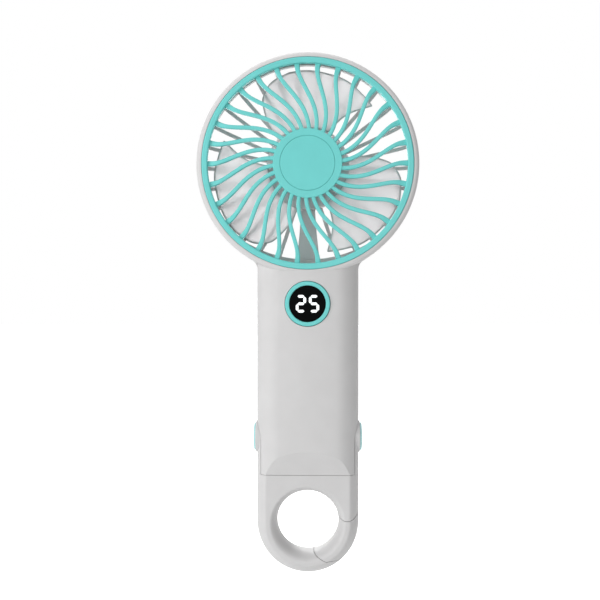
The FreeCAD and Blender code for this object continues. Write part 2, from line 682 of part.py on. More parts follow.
def rib_swing(radius):
    """How far a front rib has turned from its outer end, in degrees."""
    start = RING_INNER - RIB_STRAIGHT
    share = max(0.0, (start - radius) / (start - PLATE_RADIUS + RIB_RUN_ON))
    return RIB_SWEEP_DEG * share * share * (3 - 2 * share)


def front_rib():
    """One S-shaped rib, cut to the grille's depth profile."""
    outer = RING_INNER + EMBED
    inner = PLATE_RADIUS - EMBED
    y0 = FRONT_Y - RING_PROUD
    left = []
    right = []
    centre = []
    for index in range(RIB_STEPS + 1):
        share = index / RIB_STEPS
        radius = outer + (inner - outer) * share
        centre.append(on_circle(radius, RIB_START_DEG + rib_swing(radius), y0))
    for index, point in enumerate(centre):
        ahead = centre[min(index + 1, RIB_STEPS)]
        behind = centre[max(index - 1, 0)]
        along = (ahead - behind).normalize()
        across = V(-along.z, 0, along.x) * rib_half_width(index / RIB_STEPS)
        left.append(point + across)
        right.append(point - across)
    right.reverse()
    sides = []
    for points in (left, right):
        curve = Part.BSplineCurve()
        curve.interpolate(points)
        sides.append(curve.toShape())
    ends = [Part.makeLine(left[-1], right[0]), Part.makeLine(right[-1], left[0])]
    face = Part.Face(Part.Wire([sides[0], ends[0], sides[1], ends[1]]))
    rib = face.extrude(V(0, RING_DEPTH + MARGIN, 0))
    front = y0 + RIB_SET_BACK
    foot = front + RIB_FOOT_DROP
    rear = front + RIB_DEPTH
    foot_rear = y0 + RING_DEPTH
    bend = RING_INNER - RIB_FOOT_LENGTH
    profile = turned_y([(inner - MARGIN, front), (bend, front), (outer + MARGIN, foot),
                        (outer + MARGIN, foot_rear), (bend, rear), (inner - MARGIN, rear)])
    return rib.common(profile)


def make_front_grille():
    """Ring, ribs and centre plate in one moulding."""
    y0 = FRONT_Y - RING_PROUD
    ring = ring_y(RING_OUTER, RING_INNER, y0, y0 + RING_DEPTH, 0, HEAD_Z)
    plate = cyl_y(PLATE_RADIUS, y0, y0 + PLATE_DEPTH, 0, HEAD_Z)
    plate = plate.cut(badge_blank(y0, RING_CLEARANCE / 2))
    return fused([ring, plate] + copies_about_y(front_rib(), RIB_COUNT))


def badge_blank(y0, grow):
    """Disc with a chamfered front edge; grow makes it into its own recess."""
    radius = BADGE_RADIUS + grow
    chamfer = BADGE_CHAMFER
    if grow > 0:
        return turned_y([(0, y0), (radius + chamfer, y0), (radius, y0 + chamfer),
                         (radius, y0 + BADGE_DEPTH), (0, y0 + BADGE_DEPTH)])
    return turned_y([(0, y0), (radius - chamfer, y0), (radius, y0 + chamfer),
                     (radius, y0 + BADGE_DEPTH), (0, y0 + BADGE_DEPTH)])


def make_grille_badge():
    """Blank disc in the middle of the front grille."""
    return badge_blank(FRONT_Y - RING_PROUD, 0.0)


# ================================================================ rear grille
def guard_band(depth):
    """Band of this depth behind the rear grille's profile, turned about the head's axis."""
    front = [(TUNNEL_RADIUS - inset, at_depth(d)) for inset, d in GUARD_RIM]
    front += [(SEAT_RADIUS + outset, at_depth(d)) for outset, d in GUARD_SEAT]
    back = [(r, y + depth) for r, y in reversed(front)]
    return turned_y(front + back)


def make_rear_grille():
    """Rear guard with the motor's seat and the arm that runs down to the neck."""
    outer = TUNNEL_RADIUS - RING_CLEARANCE
    ring_front = RIM_REAR_Y - GUARD_RING_DEPTH
    ring = ring_y(outer, outer - GUARD_RING_WIDTH, ring_front, RIM_REAR_Y, 0, HEAD_Z)
    seat_y = motor_base_y() + BASE_THICKNESS
    seat_front = at_depth(GUARD_SEAT[-1][1])
    seat = ring_y(SEAT_RADIUS, SEAT_RADIUS - SEAT_WALL, seat_front, seat_y + SEAT_WALL, 0, HEAD_Z)
    floor = cyl_y(SEAT_RADIUS, seat_y, seat_y + SEAT_WALL, 0, HEAD_Z)
    half = GUARD_RIB_WIDTH / 2
    blade = box(-half, half, FRONT_Y, HALF_DEPTH, HEAD_Z + SEAT_RADIUS - EMBED,
                HEAD_Z + outer - EMBED)
    blade = blade.common(guard_band(GUARD_RIB_DEPTH))
    blade.rotate(HEAD_AXIS, V(0, 1, 0), RIB_START_DEG)
    ribs = copies_about_y(blade, GUARD_RIB_COUNT)
    arm_top = HEAD_Z - SEAT_RADIUS + EMBED
    arm = prism_y([(-ARM_WIDTH_TOP / 2, arm_top), (ARM_WIDTH_TOP / 2, arm_top),
                   (ARM_WIDTH_BOTTOM / 2, HEAD_Z - outer), (-ARM_WIDTH_BOTTOM / 2, HEAD_Z - outer)],
                  FRONT_Y, HALF_DEPTH)
    arm = arm.common(guard_band(ARM_DEPTH))
    grille = fused([ring, seat, floor, arm] + ribs)
    grille = grille.cut(saddle_region(FRONT_Y, FAR, SHELL_GAP))
    for x in (-MOTOR_SCREW_PITCH / 2, MOTOR_SCREW_PITCH / 2):
        grille = grille.cut(cyl_y(MOTOR_SCREW_RADIUS + SCREW_FIT, 0, FAR, x, HEAD_Z))
    return grille


# ================================================================ motor
def can_front_y():
    """Front of the motor's can, clear of the hub's inside."""
    return at_depth(HUB_FRONT_DEPTH + HUB_WALL + CAN_CLEARANCE)


def motor_base_y():
    """Front of the motor's base plate."""
    return can_front_y() + CAN_LENGTH


def make_motor_can():
    """Drawn cup with a front hole for the bearing."""
    y0 = can_front_y()
    cup = cyl_y(CAN_RADIUS, y0, motor_base_y(), 0, HEAD_Z)
    inside = cyl_y(CAN_RADIUS - CAN_WALL, y0 + CAN_WALL, motor_base_y(), 0, HEAD_Z)
    return cup.cut(inside).cut(cyl_y(BEARING_RADIUS, y0, y0 + CAN_WALL, 0, HEAD_Z))


def make_motor_base():
    """Base plate with the rear bearing's hole and two threaded holes."""
    y0 = motor_base_y()
    plate = cyl_y(CAN_RADIUS, y0, y0 + BASE_THICKNESS, 0, HEAD_Z)
    plate = plate.cut(cyl_y(BEARING_RADIUS, y0, y0 + BASE_THICKNESS, 0, HEAD_Z))
    for x in (-MOTOR_SCREW_PITCH / 2, MOTOR_SCREW_PITCH / 2):
        plate = plate.cut(cyl_y(MOTOR_SCREW_RADIUS + SHAFT_FIT, y0, y0 + BASE_THICKNESS, x, HEAD_Z))
    return plate


def make_bearing(y0):
    """Sintered bush around the shaft."""
    return ring_y(BEARING_RADIUS, SHAFT_RADIUS + SHAFT_FIT, y0, y0 + BEARING_LENGTH, 0, HEAD_Z)


def front_bearing_y():
    """Front of the front bearing: flush with the can's front."""
    return can_front_y()


def rear_bearing_y():
    """Front of the rear bearing: its back is flush with the base plate's back."""
    return motor_base_y() + BASE_THICKNESS - BEARING_LENGTH


def make_motor_magnet():
    """Ring magnet along the can's wall."""
    outer = CAN_RADIUS - CAN_WALL
    y0 = can_front_y() + CAN_WALL
    return ring_y(outer, outer - MAGNET_THICKNESS, y0, motor_base_y(), 0, HEAD_Z)


def make_motor_rotor():
    """Slotted core with its windings, pressed on the shaft."""
    radius = CAN_RADIUS - CAN_WALL - MAGNET_THICKNESS - AIR_GAP
    y0 = front_bearing_y() + BEARING_LENGTH + ROTOR_END_GAP
    y1 = rear_bearing_y() - ROTOR_END_GAP
    core = ring_y(radius, SHAFT_RADIUS, y0, y1, 0, HEAD_Z)
    slot = box(-ROTOR_SLOT_WIDTH / 2, ROTOR_SLOT_WIDTH / 2, y0, y1,
               HEAD_Z + radius - ROTOR_SLOT_DEPTH, HEAD_Z + radius + MARGIN)
    for cut in copies_about_y(slot, ROTOR_SLOTS):
        core = core.cut(cut)
    return core


def make_motor_shaft():
    """Shaft from the hub's boss to the base plate's back."""
    rear_y = motor_base_y() + BASE_THICKNESS - SHAFT_SETBACK
    return cyl_y(SHAFT_RADIUS, at_depth(HUB_FRONT_DEPTH + SHAFT_COVER), rear_y, 0, HEAD_Z)


def make_motor_screws():
    """Two screws through the seat's floor into the base plate."""
    screws = []
    seat_rear = motor_base_y() + BASE_THICKNESS + SEAT_WALL
    for x in (-MOTOR_SCREW_PITCH / 2, MOTOR_SCREW_PITCH / 2):
        shank = cyl_y(MOTOR_SCREW_RADIUS, seat_rear - MOTOR_SCREW_LENGTH, seat_rear, x, HEAD_Z)
        head = cyl_y(MOTOR_SCREW_HEAD, seat_rear, seat_rear + MOTOR_SCREW_HEAD_LENGTH, x, HEAD_Z)
        screws.append(fused([shank, head]))
    return Part.makeCompound(screws)


# ================================================================ impeller
def blade_outline():
    """Closed flat face with the blade's front view."""
    y0 = FRONT_Y
    reach = BLADE_TIP - BLADE_ROOT
    lead = [on_circle(BLADE_ROOT + share * reach, angle, y0)
            for share, angle in zip(BLADE_LEAD_SHARE, BLADE_LEAD_DEG)]
    trail = [on_circle(BLADE_ROOT + share * reach, angle, y0)
             for share, angle in zip(BLADE_TRAIL_SHARE, BLADE_TRAIL_DEG)]
    edges = []
    for points in (lead, trail):
        curve = Part.BSplineCurve()
        curve.interpolate(points)
        edges.append(curve.toShape())
    inner = [on_circle(BLADE_ROOT, BLADE_TRAIL_DEG[-1], y0), on_circle(BLADE_ROOT, BLADE_LEAD_DEG[0], y0)]
    edges.insert(1, Part.makeLine(lead[-1], trail[0]))
    edges.append(Part.makeLine(trail[-1], inner[0]))
    edges.append(Part.makeLine(inner[0], inner[1]))
    edges.append(Part.makeLine(inner[1], lead[0]))
    return Part.Face(Part.Wire(edges))


def blade_sheet():
    """Screw-shaped sheet that gives the blades their pitch."""
    sections = []
    start = BLADE_START_DEG - SHEET_EXTRA_DEG
    end = BLADE_END_DEG + SHEET_EXTRA_DEG
    for index in range(SHEET_STEPS + 1):
        share = index / SHEET_STEPS
        clock = start + (end - start) * share
        depth = BLADE_REAR_DEPTH + (BLADE_FRONT_DEPTH - BLADE_REAR_DEPTH) * share
        y0 = at_depth(depth) - BLADE_THICKNESS / 2
        y1 = y0 + BLADE_THICKNESS
        inner = HUB_RADIUS - HUB_WALL
        outer = BLADE_TIP + SHEET_EXTRA
        corners = [on_circle(inner, clock, y0), on_circle(outer, clock, y0),
                   on_circle(outer, clock, y1), on_circle(inner, clock, y1)]
        sections.append(Part.makePolygon(corners + [corners[0]]))
    return Part.makeLoft(sections, True, False)


def make_impeller():
    """Hub cup with its boss and three wide blades."""
    y0 = at_depth(HUB_FRONT_DEPTH)
    y1 = y0 + HUB_LENGTH
    cup = cyl_y(HUB_RADIUS, y0, y1, 0, HEAD_Z)
    cup = cup.makeFillet(HUB_WALL / 2, circle_edges(cup, HUB_RADIUS, place=y0))
    cup = cup.cut(cyl_y(HUB_RADIUS - HUB_WALL, y0 + HUB_WALL, y1, 0, HEAD_Z))
    boss = cyl_y(HUB_BOSS_RADIUS, y0, y0 + HUB_BOSS_LENGTH, 0, HEAD_Z)
    prism = blade_outline().extrude(V(0, 2 * RIM_DEPTH, 0))
    blade = prism.common(blade_sheet())
    blade = blade.cut(cyl_y(BLADE_ROOT, y0 - FAR, y1 + FAR, 0, HEAD_Z))
    return fused([cup, boss] + copies_about_y(blade, BLADE_COUNT)).cut(make_motor_shaft())


# ================================================================ display button
def make_display_ring():
    """Button cap: teal ring, floor behind the window, retaining flange and post."""
    y0 = FRONT_Y - BUTTON_PROUD
    floor_y = y0 + WINDOW_INSET + WINDOW_DEPTH
    y1 = floor_y + BUTTON_FLOOR
    cap = cyl_y(BUTTON_RADIUS, y0, y1, 0, DISPLAY_Z)
    cap = cap.makeFillet(BUTTON_ROUND, circle_edges(cap, BUTTON_RADIUS, place=y0))
    cap = cap.cut(cyl_y(WINDOW_RADIUS, y0, floor_y, 0, DISPLAY_Z))
    flange_y = FRONT_Y + WALL + COLLAR_DEPTH + FLANGE_GAP
    skirt = cyl_y(BUTTON_RADIUS, y1, flange_y + FLANGE_DEPTH, 0, DISPLAY_Z)
    flange = cyl_y(BUTTON_RADIUS + FLANGE_WIDTH, flange_y, flange_y + FLANGE_DEPTH, 0, DISPLAY_Z)
    hollow = cyl_y(BUTTON_RADIUS - BUTTON_SKIRT, y1, flange_y + FLANGE_DEPTH, 0, DISPLAY_Z)
    post = cyl_y(POST_RADIUS, y1, plunger_front_y(), 0, DISPLAY_Z)
    return fused([cap, fused([skirt, flange]).cut(hollow), post])


def window_front_y():
    """Front face of the black window."""
    return FRONT_Y - BUTTON_PROUD + WINDOW_INSET


def segment_centres(digit):
    """Lit segments of a digit: centre, in stroke lengths from the digit's middle, and direction."""
    across = (DIGIT_WIDTH - STROKE) / 2
    up = (DIGIT_HEIGHT - STROKE) / 2
    places = {
        "top": (0, up, True), "middle": (0, 0, True), "bottom": (0, -up, True),
        "upper_left": (-across, up / 2, False), "upper_right": (across, up / 2, False),
        "lower_left": (-across, -up / 2, False), "lower_right": (across, -up / 2, False),
    }
    lit = {
        "2": ("top", "upper_right", "middle", "lower_left", "bottom"),
        "5": ("top", "upper_left", "middle", "lower_right", "bottom"),
    }
    return [places[name] for name in lit[digit]]


def segment(x, z, level):
    """One pointed bar of a digit, let into the window's face."""
    length = (DIGIT_WIDTH if level else (DIGIT_HEIGHT + STROKE) / 2) - STROKE
    half = length / 2 - STROKE_JOINT
    thick = STROKE / 2
    points = [(-half, 0), (thick - half, thick), (half - thick, thick),
              (half, 0), (half - thick, -thick), (thick - half, -thick)]
    if not level:
        points = [(b, a) for a, b in points]
    y0 = window_front_y()
    return prism_y([(x + a, z + b) for a, b in points], y0, y0 + SEGMENT_DEPTH)


def digit_bars():
    """All lit segments of the display."""
    bars = []
    pitch = DIGIT_WIDTH + DIGIT_GAP
    start = -(len(DIGITS) - 1) * pitch / 2
    for index, digit in enumerate(DIGITS):
        for x, z, level in segment_centres(digit):
            bars.append(segment(start + index * pitch + x, DISPLAY_Z + z, level))
    return bars


def make_display_window(bars):
    """Black window with pockets for the segments."""
    y0 = window_front_y()
    disc = cyl_y(WINDOW_RADIUS - WINDOW_CLEARANCE, y0, y0 + WINDOW_DEPTH, 0, DISPLAY_Z)
    for bar in bars:
        disc = disc.cut(bar)
    return disc


def plunger_front_y():
    """Front of the switch's plunger."""
    return BOARD_FRONT_Y - SWITCH_HEIGHT - PLUNGER_LENGTH


def make_switch_plunger():
    """Plunger of the switch under the button."""
    y0 = plunger_front_y()
    return cyl_y(PLUNGER_RADIUS, y0, y0 + PLUNGER_LENGTH + PLUNGER_INSERT, 0, DISPLAY_Z)


def make_tact_switch():
    """Switch body with the plunger's bore."""
    half = SWITCH_SIZE / 2
    y0 = BOARD_FRONT_Y - SWITCH_HEIGHT
    body = box(-half, half, y0, BOARD_FRONT_Y, DISPLAY_Z - half, DISPLAY_Z + half)
    bore = PLUNGER_INSERT + BUTTON_TRAVEL + PLUNGER_END_GAP
    return body.cut(cyl_y(PLUNGER_RADIUS + PLUNGER_FIT, y0, y0 + bore, 0, DISPLAY_Z))


# ================================================================ board and battery
def make_main_board():
    """Circuit board behind the display."""
    half = BOARD_WIDTH / 2
    board = box(-half, half, BOARD_FRONT_Y, BOARD_FRONT_Y + BOARD_THICKNESS,
                board_top() - BOARD_HEIGHT, board_top())
    for x, z in board_standoffs():
        board = board.cut(cyl_y(BOARD_SCREW_RADIUS + SCREW_FIT, -FAR, FAR, x, z))
    return board


def make_board_components():
    """Driver chip, coil and capacitors on the board's two faces."""
    front = BOARD_FRONT_Y
    rear = BOARD_FRONT_Y + BOARD_THICKNESS
    half = (CHIP_X[1] - CHIP_X[0]) / 2
    chip = box(*CHIP_X, front - CHIP_HEIGHT, front, DISPLAY_Z - half, DISPLAY_Z + half)
    coil = cyl_y(COIL_RADIUS, front - COIL_HEIGHT, front, COIL_X, DISPLAY_Z)
    z0 = DISPLAY_Z + REAR_CHIP_DROP
    rear_chip = box(*REAR_CHIP_X, rear, rear + REAR_CHIP_HEIGHT, z0, z0 + REAR_CHIP_X[1] - REAR_CHIP_X[0])
    z0 = DISPLAY_Z + CAPACITOR_DROP
    capacitor = box(*CAPACITOR_X, rear, rear + CAPACITOR_HEIGHT, z0, z0 + CAPACITOR_WIDTH)
    return Part.makeCompound([chip, coil, rear_chip, capacitor])


def make_board_screws():
    """Two screws that hold the board on its posts."""
    screws = []
    for x, z in board_standoffs():
        head = cyl_y(BOARD_SCREW_HEAD, BOARD_FRONT_Y - BOARD_SCREW_HEAD_LENGTH, BOARD_FRONT_Y, x, z)
        shank = cyl_y(BOARD_SCREW_RADIUS, BOARD_FRONT_Y, BOARD_FRONT_Y + BOARD_SCREW_LENGTH, x, z)
        screws.append(fused([head, shank]))
    return Part.makeCompound(screws)


def make_usb_socket():
    """Charging socket, standing on the board's rear face."""
    y0 = BOARD_FRONT_Y + BOARD_THICKNESS
    y1 = HALF_DEPTH - SOCKET_SETBACK
    shell = rounded_slot(SOCKET_WIDTH, SOCKET_HEIGHT, y0, y1, SOCKET_Z)
    mouth = rounded_slot(SOCKET_WIDTH - 2 * SOCKET_WALL, SOCKET_HEIGHT - 2 * SOCKET_WALL,
                         y1 - SOCKET_MOUTH, y1, SOCKET_Z)
    tongue = box(-TONGUE_WIDTH / 2, TONGUE_WIDTH / 2, y1 - SOCKET_MOUTH - TONGUE_ROOT, y1 - TONGUE_SETBACK,
                 SOCKET_Z - TONGUE_THICKNESS / 2, SOCKET_Z + TONGUE_THICKNESS / 2)
    return fused([shell.cut(mouth), tongue])


def cell_top():
    """Upper end of the battery's can."""
    return board_top() - BOARD_HEIGHT - CELL_GAP - TAB_THICKNESS - CELL_BUTTON_LENGTH


def make_battery_cell():
    """Round lithium cell with its raised pole."""
    can = cyl_z(CELL_RADIUS, CELL_BOTTOM_Z, cell_top())
    can = can.makeFillet(CELL_ROUND, [edge for edge in can.Edges if isinstance(edge.Curve, Part.Circle)])
    pole = cyl_z(CELL_BUTTON_RADIUS, cell_top(), cell_top() + CELL_BUTTON_LENGTH)
    return fused([can, pole])


def make_battery_tabs():
    """Nickel strips on the cell's two poles."""
    half = TAB_WIDTH / 2
    upper_z = cell_top() + CELL_BUTTON_LENGTH
    upper = box(-half, half, -CELL_BUTTON_RADIUS, CELL_BUTTON_RADIUS, upper_z, upper_z + TAB_THICKNESS)
    lower = box(-half, half, -CELL_RADIUS / 2, CELL_RADIUS / 2,
                CELL_BOTTOM_Z - TAB_THICKNESS, CELL_BOTTOM_Z)
    return Part.makeCompound([upper, lower])


def make_battery_cradle(cavity):
    """Two saddles that hold the cell against the rear shell."""
    saddles = []
    half = CRADLE_WIDTH / 2
    for z in (CELL_BOTTOM_Z + CRADLE_INSET, cell_top() - CRADLE_INSET):
        block = box(-half, half, CRADLE_FRONT_Y, HALF_DEPTH, z, z + CRADLE_LENGTH)
        block = block.common(cavity)
        saddles.append(block.cut(cyl_z(CELL_RADIUS + CRADLE_CLEARANCE, z, z + CRADLE_LENGTH)))
    return Part.makeCompound(saddles)


# ================================================================ loop
def gate_pivot():
    """Axis of the gate's pin."""
    return V(GATE_PIVOT_X, 0, GATE_PIVOT_Z)


def gate_region(grow):
    """Room of the gate in the loop; grow widens it by the gap to the frame."""
    y0 = -PLATE_THICKNESS
    y1 = PLATE_THICKNESS
    pivot = gate_pivot()
    reach = cyl_y(GATE_REACH + grow, y0, y1, pivot.x, pivot.z)
    knuckle = cyl_y(KNUCKLE_RADIUS + GATE_GAP - grow, y0, y1, pivot.x, pivot.z)
    quarter = box(-HOLE_RADIUS, HANDLE_WIDTH, y0, y1, -HANDLE_WIDTH, GATE_PIVOT_Z - GATE_TOP_DROP)
    lip = prism_y(LIP_OUTLINE, y0, y1)
    lip.translate(V(pivot.x, 0, pivot.z - grow))
    return reach.common(quarter).cut(knuckle).cut(lip)


def hole_room():
    """Room of the loop's hole: a short bore that widens to both faces."""
    half = HOLE_BORE / 2
    wide = HOLE_RADIUS + HOLE_ROUND
    edges = [Part.makeLine(V(HOLE_RADIUS, -half, 0), V(HOLE_RADIUS, half, 0)),
             Part.makeLine(V(wide, PLATE_THICKNESS, 0), V(0, PLATE_THICKNESS, 0)),
             Part.makeLine(V(0, PLATE_THICKNESS, 0), V(0, -PLATE_THICKNESS, 0)),
             Part.makeLine(V(0, -PLATE_THICKNESS, 0), V(wide, -PLATE_THICKNESS, 0))]
    for sign in (1, -1):
        mouth = V(wide, sign * PLATE_HALF, 0)
        oval = Part.Ellipse(mouth, V(HOLE_RADIUS, sign * half, 0), V(wide, sign * half, 0))
        edges.append(Part.ArcOfEllipse(oval, 0, math.pi / 2).toShape())
        edges.append(Part.makeLine(mouth, V(wide, sign * PLATE_THICKNESS, 0)))
    face = Part.Face(Part.Wire(Part.__sortEdges__(edges)))
    return face.revolve(V(0, 0, 0), V(0, 1, 0), 360)


def loop_blank():
    """Whole loop with its hole, before the gate is parted from it."""
    upper = handle_prism(0.0, 0.0, SEAM_Z)
    upper = upper.common(box(-FAR, FAR, -PLATE_HALF, PLATE_HALF, 0, SEAM_Z))
    section = handle_outline(0.0, 0.0).common(box(0, HANDLE_WIDTH, -PLATE_HALF, PLATE_HALF, -1, 1))
    lower = section.revolve(V(0, 0, 0), V(0, 1, 0), 180)
    blank = fused([upper, lower])
    blank = blank.makeFillet(CREASE_ROUND, crease_edges(blank))
    return blank.cut(hole_room())


def crease_edges(blank):
    """Edges where the loop's flat faces meet its rounded sides."""
    found = []
    for edge in blank.Edges:
        first, last = edge.ParameterRange
        points = [edge.valueAt(first + (last - first) * share) for share in (0.0, 0.5, 1.0)]
        reach = [math.hypot(point.x, min(point.z, 0.0)) for point in points]
        level = max(abs(abs(point.y) - PLATE_HALF) for point in points) < EDGE_TOLERANCE
        if level and max(reach) - min(reach) < EDGE_TOLERANCE and reach[0] > HOLE_RADIUS + MARGIN:
            found.append(edge)
    return found


def loop_arm(side):
    """Arm at the handle's side with its round boss."""
    x0, x1 = sorted((side * (ARM_INNER_X + ARM_GAP), side * HANDLE_WIDTH))
    bar = handle_prism(0.0, SEAM_Z - 1.0, PIVOT_Z).common(box(x0, x1, -FAR, FAR, 0, PIVOT_Z))
    b0, b1 = sorted((side * (ARM_INNER_X + ARM_GAP), side * (HALF_WIDTH + BOSS_PROUD)))
    boss = cyl_x(BOSS_RADIUS, b0, b1, 0, PIVOT_Z)
    face_x = side * (HALF_WIDTH + BOSS_PROUD)
    boss = boss.makeFillet(BOSS_ROUND, circle_edges(boss, BOSS_RADIUS, "X", face_x))
    return fused([bar, boss])


def arm_holes(side):
    """Pin bore, head recess and cap seat in an arm's boss."""
    face_x = HALF_WIDTH + BOSS_PROUD
    cap_x = face_x - CAP_DEPTH
    head_x = cap_x - PIN_HEAD_LENGTH
    holes = []
    for radius, start in ((PIN_RADIUS + PIN_FIT, 0.0), (PIN_HEAD_RADIUS + BOSS_CLEARANCE, head_x),
                          (CAP_RADIUS + CAP_CLEARANCE, cap_x)):
        x0, x1 = sorted((side * start, side * HANDLE_WIDTH))
        holes.append(cyl_x(radius, x0, x1, 0, PIVOT_Z))
    return holes


def tongue_shape(grow):
    """Outline of the gate's tongue about the pivot, hanging straight down."""
    pivot = gate_pivot()
    y = TONGUE_HALF + grow
    disc = cyl_y(TONGUE_RADIUS + grow, -y, y, pivot.x, pivot.z)
    half = TONGUE_NECK_HALF + grow
    neck = box(pivot.x - half, pivot.x + half, -y, y,
               pivot.z - KNUCKLE_RADIUS - TONGUE_NECK_EXTRA, pivot.z)
    return disc.fuse(neck)


def tongue_slot():
    """Slot in the frame's knuckle for the tongue's whole swing."""
    slot = tongue_shape(TONGUE_CLEARANCE)
    for index in range(1, SWING_STEPS + 1):
        swung = tongue_shape(TONGUE_CLEARANCE)
        swung.rotate(gate_pivot(), V(0, 1, 0), GATE_OPEN_DEG * index / SWING_STEPS)
        slot = slot.fuse(swung)
    return slot


def spring_start_y():
    """Front end of the gate spring, just behind the tongue."""
    return TONGUE_HALF + TONGUE_CLEARANCE + SPRING_WIRE + SPRING_GAP


def spring_pocket():
    """Round pocket beside the tongue for the torsion spring, open towards the gate."""
    pivot = gate_pivot()
    y0 = TONGUE_HALF
    y1 = spring_start_y() + SPRING_TURNS * SPRING_PITCH + SPRING_WIRE + SPRING_POCKET_EXTRA
    return cyl_y(SPRING_POCKET_RADIUS, y0, y1, pivot.x, pivot.z)


def spring_leg_room(grow):
    """Channel for the spring's leg, down into the gate."""
    pivot = gate_pivot()
    x = pivot.x - SPRING_COIL_RADIUS
    y = spring_start_y()
    radius = SPRING_WIRE + grow
    return cyl_z(radius, pivot.z - SPRING_LEG - grow, pivot.z, x, y)


def make_loop_frame():
    """Loop plate, both arms and the knuckle of the gate."""
    frame = fused([loop_blank().cut(gate_region(GATE_GAP)), loop_arm(1), loop_arm(-1)])
    for side in (1, -1):
        for hole in arm_holes(side):
            frame = frame.cut(hole)
    pivot = gate_pivot()
    frame = frame.cut(tongue_slot()).cut(spring_pocket())
    leg = spring_leg_room(TONGUE_CLEARANCE)
    for index in range(SWING_STEPS + 1):
        swung = leg.copy()
        swung.rotate(pivot, V(0, 1, 0), GATE_OPEN_DEG * index / SWING_STEPS)
        frame = frame.cut(swung)
    frame = frame.cut(spring_anchor(SPRING_WIRE + SPRING_SEAT_GROW))
    return frame.cut(cyl_y(GATE_PIN_RADIUS + SHAFT_FIT, GATE_PIN_COVER - PLATE_HALF, FAR, pivot.x, pivot.z))


def spring_anchor(radius):
    """Straight end of the spring that rests in the frame."""
    pivot = gate_pivot()
    y = spring_start_y() + SPRING_TURNS * SPRING_PITCH
    return cyl_z(radius, pivot.z, pivot.z + SPRING_ANCHOR, pivot.x - SPRING_COIL_RADIUS, y)


def make_loop_gate():
    """Gate of the carabiner with its hinge tongue."""
    pivot = gate_pivot()
    gate = loop_blank().common(gate_region(0.0))
    tongue = tongue_shape(0.0)
    gate = fused([gate, tongue])
    gate = gate.cut(cyl_y(GATE_PIN_RADIUS + GATE_PIN_FIT, -FAR, FAR, pivot.x, pivot.z))
    return gate.cut(spring_leg_room(SPRING_LEG_GROW))


def make_gate_pin():
    """Blind pin, visible from behind."""
    pivot = gate_pivot()
    rear_y = PLATE_HALF - GATE_PIN_SETBACK
    return cyl_y(GATE_PIN_RADIUS, GATE_PIN_COVER - PLATE_HALF, rear_y, pivot.x, pivot.z)


def make_gate_spring():
    """Torsion spring round the pin, with one leg in the frame and one in the gate."""
    pivot = gate_pivot()
    height = SPRING_TURNS * SPRING_PITCH
    helix = Part.makeHelix(SPRING_PITCH, height, SPRING_COIL_RADIUS)
    wire = Part.Wire(helix.Edges)
    start = helix.Edges[0].valueAt(helix.Edges[0].FirstParameter)
    tangent = helix.Edges[0].tangentAt(helix.Edges[0].FirstParameter)
    profile = Part.Wire(Part.makeCircle(SPRING_WIRE, start, tangent))
    coil = wire.makePipeShell([profile], True, True)
    coil.rotate(V(0, 0, 0), V(1, 0, 0), -90)
    coil.rotate(V(0, 0, 0), V(0, 1, 0), 180)
    coil.translate(V(pivot.x, spring_start_y(), pivot.z))
    bends = [Part.makeSphere(SPRING_BEND * SPRING_WIRE,
                             V(pivot.x - SPRING_COIL_RADIUS, spring_start_y() + rise, pivot.z))
             for rise in (0.0, height)]
    return fused([coil] + bends + [spring_leg_room(0.0), spring_anchor(SPRING_WIRE)])


def make_pivot_pin(side):
    """Shouldered pin from the boss into the handle."""
    cap_x = HALF_WIDTH + BOSS_PROUD - CAP_DEPTH
    head_x = cap_x - PIN_HEAD_LENGTH
    inner_x = ARM_INNER_X - PIN_DEPTH
    seat_x = head_x + PIN_HEAD_GAP
    tip_x = cap_x - PIN_CAP_GAP
    shank = cyl_x(PIN_RADIUS, *sorted((side * inner_x, side * seat_x)), 0, PIVOT_Z)
    head = cyl_x(PIN_HEAD_RADIUS, *sorted((side * seat_x, side * tip_x)), 0, PIVOT_Z)
    return fused([shank, head])


def make_pivot_washer(side):
    """Friction washer between handle and arm."""
    x0, x1 = sorted((side * (ARM_INNER_X - WASHER_THICKNESS), side * (ARM_INNER_X + ARM_GAP)))
    disc = cyl_x(WASHER_RADIUS, x0, x1, 0, PIVOT_Z)
    return disc.cut(cyl_x(PIN_RADIUS + PIN_FIT, x0, x1, 0, PIVOT_Z))


def make_pivot_cap(side):
    """Pale cap let into the boss."""
    face_x = HALF_WIDTH + BOSS_PROUD
    x0, x1 = sorted((side * (face_x - CAP_DEPTH), side * (face_x + CAP_PROUD)))
    cap = cyl_x(CAP_RADIUS, x0, x1, 0, PIVOT_Z)
    outer_x = side * (face_x + CAP_PROUD)
    return cap.makeFillet(CAP_ROUND, circle_edges(cap, CAP_RADIUS, "X", outer_x))


